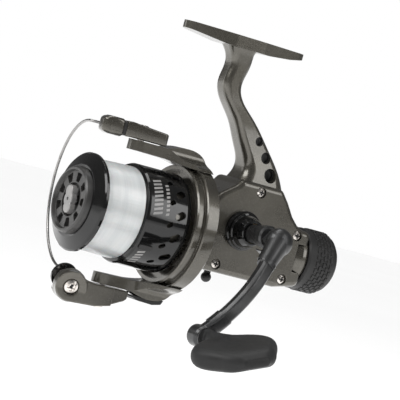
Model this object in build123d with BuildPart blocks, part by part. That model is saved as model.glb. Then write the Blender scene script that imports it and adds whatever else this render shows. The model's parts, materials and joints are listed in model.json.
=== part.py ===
"""Rear-drag spinning reel, modelled in millimetres.

Frame: the origin is the centre of the foot's seat, the face that lies against the
rod.  +X points along the rod to its tip, +Y to the handle side, +Z away from the
reel.  The main shaft runs along X, axis_drop under the seat.  Heights called h are
measured over the main shaft, distances called x from the centre of the foot.
"""
import os
from math import asin, atan2, cos, degrees, pi, radians, sin, sqrt, tan

from build123d import *

os.makedirs("parts", exist_ok=True)

# ---------------------------------------------------------------- driving sizes
axis_drop = 87.4            # seat of the foot to the main shaft's axis
running = 0.05              # radial clearance of a running fit
pass_gap = 0.4              # clearance between pieces that move past each other

foot_length = 62.0
foot_width = 14.0
foot_tip_width = 9.5
foot_front_thick = 3.3
foot_mid_thick = 5.2
foot_rear_thick = 2.4

case_half = 11.5            # half the width of the gear case
case_wall = 1.6
case_front = 2.1            # x of the case's front face
case_rear = -53.4           # x of the case's rear face
case_bottom = -15.0         # h of the case's floor, outside
case_top = 27.3             # h of the seam between side cover and stem
seam_y = 7.0                # y of the joint between housing and side cover
case_round = 3.0            # rounding along the case's side edges

crank_x = -17.1
crank_rise = 5.75           # crank axis over the main shaft
crank_shaft_r = 3.0
main_shaft_r = 1.75

pinion_teeth = 9
gear_teeth = 44
gear_mesh_r = 14.0          # radius on the face gear where the pinion meshes
gear_face = 2.6             # length of the face gear's teeth
pinion_tip_add = 0.6
pinion_root_ded = 0.6

cross_teeth = 13            # small gear on the crank that drives the oscillation
oscillation_teeth = 26
oscillation_module = 0.8

stroke_back = 2.5           # spool travel to the rear of the rest position
stroke_front = 9.0          # and to the front

lip_x = 58.4                # x of the spool's front lip
lip_r = 21.6
skirt_r = 22.0
skirt_wall = 1.4
skirt_length = 22.0
line_width = 19.0           # length of the winding
line_front_r = 19.7
line_rear_r = 20.3
arbor_r = 13.5
cap_r = 14.4                # front cap of the spool
cap_stand = 5.5             # cap's rim in front of the lip

rotor_rear = 5.4            # x of the rotor's rear edge
rotor_band = 6.4            # width of the outer band
rotor_r = 28.4
rotor_cup_r = 19.6
arm_inner = 27.2            # h of the arms' inner faces
arm_tip_h = 31.7            # h of the arms' outer faces at the bail pivots
arm_root_h = 33.8
arm_tip_x = 42.4
arm_half = 5.0

pivot_x = 37.4              # bail pivot axis
bail_toe = 10.0             # degrees the bail levers point away from the handle
bail_reach = 22.0           # pivot to the plane of the wire, at mid height
wire_r = 0.62
wire_bow_r = 32.0

knob_r = 13.75              # drag knob
knob_rear = -71.0

handle_y = 42.2             # y of the fold pin
arm_length = 55.2           # fold pin to knob spindle
arm_fall = 58.8             # degrees the arm hangs below horizontal
paddle_length = 40.0        # handle knob, across its widest part
paddle_end = 45.4           # middle of the knob's seat to the knob's outer end

# ---------------------------------------------------------------- shared frames
axis_z = -axis_drop
crank_z = axis_z + crank_rise
main_line = Plane(origin=(0, 0, axis_z), x_dir=(1, 0, 0), z_dir=(0, -1, 0))
crank_line = Plane(origin=(crank_x, 0, crank_z), x_dir=(0, 1, 0), z_dir=(1, 0, 0))


def side_plane(y):
    """Plane at this y with local (x, h) coordinates, facing -Y."""
    return Plane(origin=(0, y, axis_z), x_dir=(1, 0, 0), z_dir=(0, -1, 0))


def cross_plane(x):
    """Plane at this x with local (y, h) coordinates, facing +X."""
    return Plane(origin=(x, 0, axis_z), x_dir=(0, 1, 0), z_dir=(1, 0, 0))


def save(piece, name):
    """Label a finished piece and write its STEP file."""
    piece.part.label = name
    export_step(piece.part, f"parts/{name}.step")


def face_of(plane, points):
    """The flat face inside a closed polygon of local points."""
    with BuildSketch(plane) as outline:
        with BuildLine():
            Polyline(*points, close=True)
        make_face()
    return outline.sketch


def turned(plane, points, mode=Mode.ADD):
    """Turn an outline of (distance, radius) points about the plane's X axis."""
    revolve(face_of(plane, points), axis=Axis(plane.origin, plane.x_dir), mode=mode)


def tube(plane, start, end, outer, inner=0.0, mode=Mode.ADD):
    """A plain ring or rod along the plane's X axis."""
    turned(plane, [(start, inner), (end, inner), (end, outer), (start, outer)], mode)


def shifted(plane, x=0.0, y=0.0, z=0.0):
    """The same plane moved by local distances."""
    origin = plane.from_local_coords(Vector(x, y, z))
    return Plane(origin=origin, x_dir=plane.x_dir, z_dir=plane.z_dir)


def prism(plane, points, depth, both=False, mode=Mode.ADD):
    """A straight bar with a polygon for its section."""
    extrude(face_of(plane, points), amount=depth, both=both, mode=mode)


def toothed(teeth, root_r, tip_r, root_half, tip_half, turn=0.0):
    """Outline of a small gear: four points to a tooth, angles in degrees."""
    points = []
    for i in range(teeth):
        middle = radians(turn) + 2 * pi * i / teeth
        for radius, half in (
            (root_r, -root_half),
            (tip_r, -tip_half),
            (tip_r, tip_half),
            (root_r, root_half),
        ):
            angle = middle + half / radius
            points.append((radius * cos(angle), radius * sin(angle)))
    return points


def cross_screw(plane, head_r, head_h, shank_r, shank_l):
    """A cross-recess screw along the plane's X axis; its head starts at 0."""
    turned(plane, [(0, 0), (head_h, 0), (head_h, head_r * 0.55),
                   (head_h * 0.55, head_r), (0, head_r)])
    tube(plane, -shank_l, 0, shank_r)
    slot = head_r * 0.22
    arm = head_r * 0.62
    deep = head_h * 0.55
    for along, across in ((arm, slot), (slot, arm)):
        corners = [(-along, -across), (along, -across), (along, across), (-along, across)]
        face = Plane(origin=plane.from_local_coords(Vector(head_h + 0.1, 0, 0)),
                     x_dir=plane.z_dir, z_dir=plane.x_dir)
        prism(face, corners, -deep, mode=Mode.SUBTRACT)


def coil(plane, start, length, radius, wire, turns):
    """A coil spring along the plane's X axis."""
    centre = plane.from_local_coords(Vector(start, 0, 0))
    with BuildLine() as path:
        Helix(pitch=length / turns, height=length, radius=radius,
              center=centre, direction=plane.x_dir)
    with BuildSketch(Plane(origin=path.line @ 0, z_dir=path.line % 0)) as section:
        Circle(wire)
    sweep(sections=section.sketch, path=path.line)


# ---------------------------------------------------------------- gear case
stem_stations = [           # (h, x of the middle, depth along X, width along Y)
    (82.6, 1.2, 15.5, 11.0),
    (79.5, 0.6, 11.6, 9.8),
    (75.0, 0.0, 9.9, 9.4),
    (67.0, 1.4, 9.2, 9.4),
    (60.0, -1.2, 9.7, 9.8),
    (54.0, -7.4, 11.4, 10.2),
    (47.0, -13.8, 13.6, 10.8),
    (40.0, -19.3, 15.8, 12.0),
    (34.0, -23.2, 18.0, 14.0),
    (28.0, -24.2, 22.4, 17.6),
    (23.0, -24.4, 27.0, 21.0),
]
case_outline = [            # (x, h), front face first, then over the top to the rear
    (case_front, -11.5),
    (case_front, 14.0),
    (-2.5, 19.5),
    (-9.6, 24.6),
    (-11.6, case_top),
    (-33.4, case_top),
    (-37.8, 22.5),
    (-41.8, 17.2),
    (-45.4, 14.0),
    (-49.0, 12.6),
    (case_rear, 12.2),
    (case_rear, -12.2),
    (-47.0, -13.6),
    (-41.0, case_bottom),
    (-3.4, case_bottom),
]
neck_r = 12.2               # flange that carries the rotor bearing
flare_r = 16.2              # rim of the flare behind the rotor
neck_front = case_front + 1.4
bearing_r = 7.5
bearing_width = 4.0
bearing_back = neck_front - bearing_width
inner_race_r = 3.5
rear_tube_r = 10.2          # threaded tube under the drag knob
rear_tube_bore = 8.4
rear_tube_end = knob_rear + 5.7
drag_wall_x = -53.2         # rear face of the wall in front of the washers
drag_wall = 2.7
cover_screws = [(-22.0, 23.8), (-8.5, -11.2), (-45.9, 9.6), (-43.7, -10.7)]   # (x, h)
pillar_r = 2.3
cover_screw_r = 1.0
cover_screw_tip = 1.6       # y where the cover screws end
cover_head_r = 1.95
bush_r = 5.0
boss_h = 2.5                # crank boss outside the side cover
boss_r = 7.0
guide_h = 12.6              # slider's guide rod
guide_y = -1.0
guide_r = 1.0
lever_h = -10.9             # anti-reverse rod
lever_x = -12.6             # its tab under the case
lever_r = 0.9
oscillation_x = crank_x - oscillation_module * (cross_teeth + oscillation_teeth) / 2
pinion_back_x = -10.0
pinion_journal_r = 2.5

# sizes that follow from the driving ones
wall_back = case_front - 2.6            # rear face of the front wall
front_wall_height = 14.0 + 13.0
front_wall_mid = 0.4
collar_r = 12.6
rib = 1.8                               # thickness of the ribs that carry rods
ear_r = 9.3                             # ears of the eared drag washers
ear_width = 2.4
pinion_rib_y = 1.6
guide_front_x = -22.0
guide_line = Plane(origin=(0, guide_y, axis_z + guide_h), x_dir=(1, 0, 0), z_dir=(0, -1, 0))
lever_line = Plane(origin=(0, 0, axis_z + lever_h), x_dir=(1, 0, 0), z_dir=(0, -1, 0))
axle_line = Plane(origin=(oscillation_x, 0, crank_z), x_dir=(0, 1, 0), z_dir=(1, 0, 0))
axle_r = 1.5
far_bush_end = -9.0                     # y where the crank bushes end inside the case
near_bush_start = case_half - case_wall - 0.6
cross_y = -8.5                          # far face of the two oscillation gears
cross_width = 2.0
axle_base_end = cross_y - 0.3
tab_width = 2.4
tab_slot = 7.0
retainer_pcd_r = 9.9
retainer_screw_r = 0.7
pawl_pin_r = 0.8
pawl_y = -6.2
pawl_h = -8.0
pawl_line = Plane(origin=(0, pawl_y, axis_z + pawl_h), x_dir=(1, 0, 0), z_dir=(0, -1, 0))
retainer_lines = [
    Plane(origin=(0, retainer_pcd_r * cos(radians(a)), axis_z + retainer_pcd_r * sin(radians(a))),
          x_dir=(1, 0, 0), z_dir=(0, -1, 0))
    for a in (90, 175, 350)
]
recess_floor = 3.2                      # y of the floors of the stem's round recesses
stem_recesses = [(-17.9, 45.2, 2.05), (-23.0, 39.0, 2.55), (-26.6, 31.9, 3.15)]     # (x, h, r)
head_seat_y = case_half - 1.3           # seat of the cover screws' heads

def case_face(y, inset=0.0):
    """The case's side outline at this y, drawn in by inset."""
    with BuildSketch(side_plane(y)) as face:
        with BuildLine():
            Polyline(*case_outline, close=True)
        make_face()
        fillet(face.vertices(), case_round)
        if inset:
            offset(amount=-inset, mode=Mode.REPLACE)
    return face.sketch


with BuildPart() as body_housing:
    # foot: plan outline cut to its side profile
    with BuildSketch(Plane.XY):
        tip = foot_length / 2 - foot_tip_width / 2
        with Locations((-tip, 0), (tip, 0)):
            Circle(foot_tip_width / 2)
        with Locations((-foot_width / 2, 0), (foot_width / 2, 0)):
            Circle(foot_width / 2)
        make_hull()
    extrude(amount=-foot_mid_thick)
    half = foot_length / 2
    prism(Plane.XZ, [(-half, 0), (half, 0), (half, -foot_front_thick),
                     (half * 0.4, -foot_mid_thick), (-half * 0.35, -foot_mid_thick),
                     (-half * 0.72, -foot_mid_thick * 0.78), (-half, -foot_rear_thick)],
          foot_width, both=True, mode=Mode.INTERSECT)
    # stem: rounded sections from the foot down to the case
    for h, x, depth, width in stem_stations:
        with BuildSketch(Plane.XY.offset(axis_z + h)):
            with Locations((x, 0)):
                RectangleRounded(depth, width, width * 0.3)
    loft()
    # the side cover's top edge cuts into the stem's foot
    prism(side_plane(20), [(-50, 0), (10, 0), (10, case_top), (-50, case_top)], 20 - seam_y,
          mode=Mode.SUBTRACT)
    # case: the side outline carried across, rounded along its far edge
    extrude(case_face(seam_y), amount=seam_y + case_half)
    far_side = body_housing.faces().filter_by(Axis.Y).sort_by(Axis.Y)[0]
    fillet(far_side.edges(), case_round * 0.8)
    # front wall, flare and bearing neck
    with BuildSketch(cross_plane(wall_back)):
        with Locations((0, front_wall_mid)):
            RectangleRounded(2 * case_half, front_wall_height, case_round)
    extrude(amount=case_front - wall_back)
    turned(main_line, [(wall_back, 0), (wall_back, neck_r), (case_front, flare_r),
                       (neck_front, flare_r), (neck_front, 0)])
    # rear collar and the tube that the drag knob covers
    turned(main_line, [(case_rear, 0), (case_rear, collar_r), (case_rear + 1.0, collar_r + 0.4),
                       (case_rear + 2.6, collar_r + 0.4), (case_rear + 5.5, collar_r - 1.0),
                       (case_rear + 5.5, 0)])
    tube(main_line, rear_tube_end, case_rear, rear_tube_r)
    # hollow of the case, in front of the drag chamber
    hollow = extrude(case_face(seam_y + 1, case_wall), amount=seam_y + 1 + case_half - case_wall,
                     mode=Mode.PRIVATE)
    keep = Plane.YZ.offset(drag_wall_x + drag_wall)
    add(split(hollow, bisect_by=keep, keep=Keep.TOP, mode=Mode.PRIVATE), mode=Mode.SUBTRACT)
    # pillars for the cover screws
    with BuildSketch(side_plane(seam_y)):
        with Locations(*cover_screws):
            Circle(pillar_r)
    extrude(amount=seam_y + case_half - case_wall / 2)
    with BuildSketch(side_plane(seam_y)):
        with Locations(*cover_screws):
            Circle(cover_screw_r)
    extrude(amount=seam_y - cover_screw_tip, mode=Mode.SUBTRACT)
    # bearing seat, drag chamber with grooves for the eared washers, shaft holes
    tube(main_line, bearing_back - 0.6, wall_back, bearing_r + 1.8)
    tube(main_line, bearing_back, neck_front, bearing_r, mode=Mode.SUBTRACT)
    tube(main_line, bearing_back - 0.6, neck_front, bearing_r - 1.6, mode=Mode.SUBTRACT)
    tube(main_line, rear_tube_end, drag_wall_x, rear_tube_bore, mode=Mode.SUBTRACT)
    tube(main_line, drag_wall_x, drag_wall_x + drag_wall, main_shaft_r + running,
         mode=Mode.SUBTRACT)
    with BuildSketch(cross_plane(drag_wall_x)):
        Rectangle(2 * ear_r, ear_width)
    extrude(amount=rear_tube_end - drag_wall_x, mode=Mode.SUBTRACT)
    # half bearing behind the pinion, on a rib from the far wall
    prism(side_plane(pinion_rib_y), [(pinion_back_x, -4.2), (pinion_back_x + rib, -4.2),
                                     (pinion_back_x + rib, 4.2), (pinion_back_x, 4.2)],
          pinion_rib_y + case_half - case_wall / 2)
    tube(main_line, pinion_back_x - 1, pinion_back_x + rib + 1, pinion_journal_r + running,
         mode=Mode.SUBTRACT)
    # rib at the front end of the slider's guide rod
    prism(side_plane(guide_y + guide_r + 0.9),
          [(guide_front_x, guide_h - 1.6), (guide_front_x + rib, guide_h - 1.6),
           (guide_front_x + rib, guide_h + 2.0), (guide_front_x, guide_h + 2.0)],
          guide_y + guide_r + 0.9 + case_half - case_wall / 2)
    guide_line = shifted(main_line, 0, guide_h, -guide_y)
    tube(guide_line, drag_wall_x + 1.2, guide_front_x + rib + 1, guide_r, mode=Mode.SUBTRACT)
    # far crank bush and the boss round it
    tube(crank_line, -case_half - 0.8, far_bush_end, bush_r + 1.5)
    tube(crank_line, -case_half - 0.9, far_bush_end + 0.1, bush_r, mode=Mode.SUBTRACT)
    # axle of the oscillation gear
    tube(axle_line, -case_half + case_wall / 2, axle_base_end, axle_r + 1.4)
    tube(axle_line, -case_half + case_wall, axle_base_end + 0.1, axle_r, mode=Mode.SUBTRACT)
    # anti-reverse rod: bearings front and rear, slot under its tab
    prism(side_plane(2.0), [(lever_x - 3.6, case_bottom + 0.8), (lever_x - 1.8, case_bottom + 0.8),
                            (lever_x - 1.8, lever_h + 1.3), (lever_x - 3.6, lever_h + 1.3)], 4.0)
    tube(lever_line, lever_x - 4, neck_front + 1, lever_r + running, mode=Mode.SUBTRACT)
    with BuildSketch(Plane.XY.offset(axis_z + case_bottom - 1)):
        with Locations((lever_x, 0)):
            Rectangle(tab_width + 1.0, tab_slot)
    extrude(amount=case_wall + 1.6, mode=Mode.SUBTRACT)
    # pawl pin and retainer screws in the neck
    tube(pawl_line, neck_front - 2.0, neck_front, pawl_pin_r, mode=Mode.SUBTRACT)
    for line in retainer_lines:
        tube(line, neck_front - 1.0, neck_front, retainer_screw_r, mode=Mode.SUBTRACT)
    # round recesses in both faces of the stem
    for x, h, radius in stem_recesses:
        for side in (1, -1):
            with BuildSketch(side_plane(0)) as mouth:
                with Locations((x, h)):
                    Circle(radius)
            extrude(mouth.sketch.moved(Location((0, side * recess_floor, 0))),
                    amount=-side * 10, mode=Mode.SUBTRACT)
save(body_housing, "body_housing")

with BuildPart() as side_cover:
    extrude(case_face(case_half), amount=case_half - seam_y)
    face = side_cover.faces().filter_by(Axis.Y).sort_by(Axis.Y)[-1]
    fillet(face.edges(), case_round * 0.8)
    extrude(case_face(case_half - case_wall, case_wall), amount=case_half - seam_y,
            mode=Mode.SUBTRACT)
    # room for the front wall and for the drag chamber's wall
    prism(side_plane(case_half + 1), [(wall_back - 0.1, -40), (20, -40), (20, 40),
                                      (wall_back - 0.1, 40)],
          case_half + 1, mode=Mode.SUBTRACT)
    tube(main_line, wall_back - 0.1, neck_front, flare_r + 1, mode=Mode.SUBTRACT)
    tube(main_line, case_rear - 1, case_rear + 5.6, collar_r + 0.5, mode=Mode.SUBTRACT)
    with BuildSketch(side_plane(case_half - case_wall / 2)):
        with Locations(*cover_screws):
            Circle(pillar_r)
    extrude(amount=case_half - case_wall / 2 - seam_y)
    for x, h in cover_screws:
        line = Plane(origin=(x, seam_y, axis_z + h), x_dir=(0, 1, 0), z_dir=(1, 0, 0))
        tube(line, -0.1, 10, cover_screw_r, mode=Mode.SUBTRACT)
        tube(line, head_seat_y - seam_y, 10, cover_head_r + 0.5, mode=Mode.SUBTRACT)
    # crank boss
    tube(crank_line, case_half - case_wall, case_half + boss_h, boss_r)
    tube(crank_line, near_bush_start - 0.1, case_half + boss_h + 1, bush_r, mode=Mode.SUBTRACT)
save(side_cover, "side_cover")

with BuildPart() as side_cover_screws:
    for x, h in cover_screws:
        line = Plane(origin=(x, head_seat_y, axis_z + h), x_dir=(0, 1, 0), z_dir=(1, 0, 0))
        cross_screw(line, cover_head_r, 1.5, cover_screw_r, head_seat_y - cover_screw_tip)
save(side_cover_screws, "side_cover_screws")

boss_end = case_half + 9.5              # tip of the stepped black boss
neck_r_handle = 4.0

with BuildPart() as boss_cover:
    base = case_half
    steps = [(0.0, 8.7), (1.6, 8.7), (2.1, 8.1), (3.6, 7.9), (4.0, 7.3), (6.8, 6.6), (9.1, 5.6),
             (9.5, 5.1)]
    turned(crank_line, [(base + d, r) for d, r in steps]
           + [(boss_end, neck_r_handle + pass_gap), (base + boss_h + 0.4, neck_r_handle + pass_gap),
              (base + boss_h + 0.4, boss_r + 0.05), (base, boss_r + 0.05)])
save(boss_cover, "boss_cover")

with BuildPart() as crank_bushes:
    tube(crank_line, near_bush_start, case_half + boss_h, bush_r, crank_shaft_r + running)
    tube(crank_line, -case_half - 0.8, far_bush_end, bush_r, crank_shaft_r + running)
save(crank_bushes, "crank_bushes")

# ---------------------------------------------------------------- rotor bearing
race_wall = 1.0
ball_r = 1.0
balls = 9
ball_track_r = (inner_race_r + bearing_r) / 2
bearing_mid = (bearing_back + neck_front) / 2

with BuildPart() as bearing_outer_race:
    tube(main_line, bearing_back, neck_front, bearing_r, bearing_r - race_wall)
save(bearing_outer_race, "bearing_outer_race")

with BuildPart() as bearing_inner_race:
    tube(main_line, bearing_back, neck_front, inner_race_r + race_wall, inner_race_r)
save(bearing_inner_race, "bearing_inner_race")

with BuildPart() as bearing_balls:
    with Locations(Plane(origin=(bearing_mid, 0, axis_z), x_dir=(0, 1, 0), z_dir=(1, 0, 0))):
        with PolarLocations(ball_track_r, balls):
            Sphere(ball_r - 0.05)
save(bearing_balls, "bearing_balls")

retainer_thick = 0.9
with BuildPart() as bearing_retainer:
    tube(main_line, neck_front, neck_front + retainer_thick, neck_r - 0.4, bearing_r - 1.2)
    for line in retainer_lines:
        tube(line, neck_front - 1, neck_front + 2, retainer_screw_r, mode=Mode.SUBTRACT)
    tube(pawl_line, neck_front - 1, neck_front + 2, pawl_pin_r, mode=Mode.SUBTRACT)
    tube(lever_line, neck_front - 1, neck_front + 2, lever_r + running, mode=Mode.SUBTRACT)
save(bearing_retainer, "bearing_retainer")

with BuildPart() as retainer_screws:
    for line in retainer_lines:
        cross_screw(shifted(line, neck_front + retainer_thick), 1.5, 0.8, retainer_screw_r,
                    retainer_thick + 1.0)
save(retainer_screws, "retainer_screws")

# ---------------------------------------------------------------- gears
mesh_run = sqrt(gear_mesh_r ** 2 - crank_rise ** 2)     # crank axis to the mesh, along X
mesh_angle = degrees(asin(crank_rise / gear_mesh_r))
gear_ratio = gear_teeth / pinion_teeth
pinion_r = gear_mesh_r ** 2 / (mesh_run * gear_ratio)   # pitch radius of the pinion
mesh_x = crank_x + mesh_run
pinion_twist = degrees(tan(radians(mesh_angle)) / pinion_r)     # per millimetre
pinion_tip_r = pinion_r + pinion_tip_add
pinion_root_r = pinion_r - pinion_root_ded
gear_outer = gear_mesh_r + gear_face / 2
gear_inner = gear_mesh_r - gear_face / 2
gear_base_y = pinion_tip_r + 0.3
gear_tip_y = pinion_root_r + 0.2
gear_root_half = 0.42                   # half the width of a face gear tooth
gear_tip_half = 0.19
pinion_root_half = 0.41
pinion_tip_half = 0.2
gear_disc = 2.5
gear_hub_end = gear_base_y + gear_disc + 1.3
pinion_start = mesh_x - 3.6
pinion_end = mesh_x + 2.0
rotor_seat_r = 3.0                      # front part of the pinion, that the rotor sits on
ratchet_x = neck_front + retainer_thick + 0.6
ratchet_width = 1.6
rotor_hub_x = ratchet_x + ratchet_width + 0.4
rotor_nut_x = 30.4
nut_width = 3.2
pinion_nose = rotor_nut_x + nut_width + 1.2

with BuildPart() as pinion_gear:
    steps = 5
    for i in range(steps + 1):
        x = pinion_start + (pinion_end - pinion_start) * i / steps
        turn = -pinion_twist * (x - mesh_x)
        with BuildSketch(cross_plane(x)):
            with BuildLine():
                Polyline(*toothed(pinion_teeth, pinion_root_r, pinion_tip_r,
                                    pinion_root_half, pinion_tip_half, turn),
                         close=True)
            make_face()
    loft(ruled=True)
    tube(main_line, pinion_back_x + 0.1, pinion_start, pinion_journal_r)
    tube(main_line, pinion_end, neck_front + 0.2, inner_race_r)
    tube(main_line, neck_front + 0.2, pinion_nose, rotor_seat_r)
    tube(main_line, pinion_back_x - 1, pinion_nose + 1, main_shaft_r + running,
         mode=Mode.SUBTRACT)
save(pinion_gear, "pinion_gear")

with BuildPart() as drive_gear:
    tube(crank_line, gear_base_y, gear_base_y + gear_disc, gear_outer + 0.2)
    tube(crank_line, gear_base_y, gear_hub_end, crank_shaft_r + 3.0)
    tube(crank_line, gear_base_y + gear_disc - 0.9, gear_base_y + gear_disc + 0.1,
         gear_inner - 1.0, crank_shaft_r + 3.0, mode=Mode.SUBTRACT)
    tube(crank_line, 0, gear_hub_end + 1, crank_shaft_r, mode=Mode.SUBTRACT)
    with BuildSketch(Plane(origin=(crank_x + gear_inner, 0, crank_z), x_dir=(0, 1, 0),
                           z_dir=(1, 0, 0))) as tooth_face:
        with BuildLine():
            Polyline((gear_base_y + 0.1, -gear_root_half), (gear_base_y + 0.1, gear_root_half),
                     (gear_tip_y, gear_tip_half), (gear_tip_y, -gear_tip_half), close=True)
        make_face()
    tooth = extrude(tooth_face.sketch, amount=gear_face, mode=Mode.PRIVATE)
    pitch = 360 / gear_teeth
    add([tooth.rotate(Axis(crank_line.origin, (0, 1, 0)), mesh_angle + (i + 0.5) * pitch)
         for i in range(gear_teeth)])
save(drive_gear, "drive_gear")

cross_pitch_r = oscillation_module * cross_teeth / 2
oscillation_pitch_r = oscillation_module * oscillation_teeth / 2
spur_add = 0.52
spur_ded = 0.8
spur_root_half = 0.62
spur_tip_half = 0.34
eccentric_r = (stroke_front + stroke_back) / 2
slider_x = oscillation_x - (stroke_front - stroke_back) / 2
slider_half = 3.0
slider_far_y = -4.3
slider_near_y = 2.3
pin_r = 1.4
rest_pin = degrees(atan2(sqrt(eccentric_r ** 2 - (slider_x - oscillation_x) ** 2),
                         slider_x - oscillation_x))

with BuildPart() as oscillation_pinion:
    centre = Plane(origin=(crank_x, cross_y + cross_width, crank_z), x_dir=(1, 0, 0),
                   z_dir=(0, -1, 0))
    prism(centre, toothed(cross_teeth, cross_pitch_r - spur_ded, cross_pitch_r + spur_add,
                          spur_root_half, spur_tip_half, 180), cross_width)
    tube(crank_line, cross_y - 1, 0, crank_shaft_r, mode=Mode.SUBTRACT)
save(oscillation_pinion, "oscillation_pinion")

with BuildPart() as oscillation_gear:
    centre = Plane(origin=(oscillation_x, cross_y + cross_width, crank_z), x_dir=(1, 0, 0),
                   z_dir=(0, -1, 0))
    prism(centre, toothed(oscillation_teeth, oscillation_pitch_r - spur_ded,
                          oscillation_pitch_r + spur_add, spur_root_half, spur_tip_half,
                          180 / oscillation_teeth), cross_width)
    pin = Plane(origin=(oscillation_x + eccentric_r * cos(radians(rest_pin)), 0,
                        crank_z + eccentric_r * sin(radians(rest_pin))),
                x_dir=(0, 1, 0), z_dir=(1, 0, 0))
    tube(pin, cross_y + cross_width - 0.5, slider_far_y - 0.35, pin_r)
    tube(axle_line, cross_y + cross_width, cross_y + cross_width + 0.6, axle_r + 1.6)
    tube(axle_line, cross_y - 1, 0, axle_r + running, mode=Mode.SUBTRACT)
save(oscillation_gear, "oscillation_gear")

with BuildPart() as oscillation_axle:
    tube(axle_line, -case_half + case_wall, cross_y + cross_width + 1.0, axle_r)
    tube(axle_line, cross_y + cross_width + 1.0, cross_y + cross_width + 1.5, axle_r + 0.7)
save(oscillation_axle, "oscillation_axle")

with BuildPart() as slider_guide_rod:
    tube(guide_line, drag_wall_x + 1.2, guide_front_x + rib, guide_r)
save(slider_guide_rod, "slider_guide_rod")

with BuildPart() as oscillation_slider:
    low = crank_rise - eccentric_r - pin_r - 1.6
    high = crank_rise + eccentric_r + pin_r + 1.6
    corners = [(slider_x - slider_half, -3.6), (slider_x + slider_half, -3.6),
               (slider_x + slider_half, high), (slider_x - slider_half, high)]
    prism(side_plane(slider_near_y), corners, slider_near_y - slider_far_y)
    tube(main_line, slider_x - 5, slider_x + 5, main_shaft_r + running, mode=Mode.SUBTRACT)
    tube(guide_line, slider_x - 5, slider_x + 5, guide_r + running, mode=Mode.SUBTRACT)
    groove = pin_r + 0.3
    prism(side_plane(slider_far_y + 1.5),
          [(slider_x - groove, low + 0.6), (slider_x + groove, low + 0.6),
           (slider_x + groove, high - 0.6), (slider_x - groove, high - 0.6)], 3,
          mode=Mode.SUBTRACT)
save(oscillation_slider, "oscillation_slider")

with BuildPart() as crank_shaft:
    tube(crank_line, -case_half - 2.6, case_half + 8.5, crank_shaft_r)
save(crank_shaft, "crank_shaft")

with BuildPart() as crank_cap:
    start = -case_half - 1.3
    turned(crank_line, [(start, crank_shaft_r), (start, 6.2), (start - 1.6, 6.2),
                        (start - 3.2, 4.9), (start - 3.8, 3.0), (start - 3.8, 0),
                        (-case_half - 2.6, 0), (-case_half - 2.6, crank_shaft_r)])
save(crank_cap, "crank_cap")

# ---------------------------------------------------------------- anti-reverse
ratchet_teeth = 18
ratchet_tip_r = 7.4
ratchet_root_r = 6.5

with BuildPart() as ratchet_wheel:
    prism(cross_plane(ratchet_x), toothed(ratchet_teeth, ratchet_root_r, ratchet_tip_r, 0.62, 0.3,
                                          -90 + 180 / ratchet_teeth), ratchet_width)
    tube(main_line, ratchet_x - 1, ratchet_x + ratchet_width + 1, rotor_seat_r,
         mode=Mode.SUBTRACT)
save(ratchet_wheel, "ratchet_wheel")

with BuildPart() as pawl_pin:
    tube(pawl_line, neck_front - 2.0, ratchet_x + ratchet_width, pawl_pin_r)
    tube(pawl_line, ratchet_x + ratchet_width, ratchet_x + ratchet_width + 0.5, pawl_pin_r + 0.6)
save(pawl_pin, "pawl_pin")

pawl_reach = -pawl_y + 0.2
with BuildPart() as anti_reverse_pawl:
    with BuildSketch(cross_plane(ratchet_x + 0.1)):
        with BuildLine():
            Polyline((pawl_y, pawl_h - 1.5), (pawl_y + pawl_reach, pawl_h - 0.9),
                     (pawl_y + pawl_reach, pawl_h + 0.15), (pawl_y + pawl_reach - 0.7, pawl_h + 0.15),
                     (pawl_y + pawl_reach - 1.0, pawl_h - 0.45), (pawl_y + 3.0, pawl_h - 0.4),
                     (pawl_y, pawl_h + 1.5), close=True)
        make_face()
        with Locations((pawl_y, pawl_h)):
            Circle(1.5)
            Circle(pawl_pin_r + running, mode=Mode.SUBTRACT)
    extrude(amount=ratchet_width - 0.3)
save(anti_reverse_pawl, "anti_reverse_pawl")

with BuildPart() as anti_reverse_lever:
    tube(lever_line, lever_x - 3.6, ratchet_x + 1.2, lever_r)
    with BuildSketch(Plane(origin=(lever_x, 0, axis_z + lever_h), x_dir=(1, 0, 0),
                           z_dir=(0, 0, -1))):
        Rectangle(tab_width, 1.8)
    extrude(amount=-case_bottom + lever_h + 1.6)
    with Locations((lever_x, 0, axis_z + case_bottom - 3.0)):
        Sphere(2.3)
    # finger under the pawl
    prism(cross_plane(ratchet_x + 0.1),
          [(0.2, lever_h - 0.5), (1.6, lever_h + 0.2), (1.35, lever_h + 0.8),
           (0.1, lever_h + 0.6)], 1.1)
save(anti_reverse_lever, "anti_reverse_lever")

# ---------------------------------------------------------------- rotor
wall_front = rotor_rear + 6.7           # front face of the rotor's rear wall
cup_front = rotor_nut_x
lip_front = 15.4
lip_outer = 26.4
lip_inner = 24.2
arm_bend = 24.6                         # x where the arms step out to their roots
pivot_screw_r = 1.4
spring_pocket_r = 3.6
spring_pocket = 3.2
arm_tip_round = 4.6
arm_back = [                            # (x, h) of the upper arm's outer side, from its bend
    (arm_bend + 1.0, arm_tip_h), (20.0, arm_root_h - 0.55), (13.4, arm_root_h - 0.2),
    (8.4, arm_root_h - 1.7), (rotor_rear, arm_root_h - 5.0),
]
root_half = 17.0                        # the arm's root spreads this far round the ring
root_line = sqrt(rotor_r ** 2 - root_half ** 2)         # h of the ring's rim there
with BuildSketch(side_plane(0)) as arm_profile:
    with BuildLine():
        Polyline(arm_back[-1], (rotor_rear, rotor_r - 2.6), (wall_front, rotor_r - 2.6),
                 (wall_front + 4.0, arm_inner - 1.2), (26.0, arm_inner - 0.2),
                 (arm_tip_x, arm_inner), (arm_tip_x, arm_tip_h), arm_back[0])
        Spline(*arm_back)
    make_face()
arm_side = arm_profile.sketch
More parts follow.
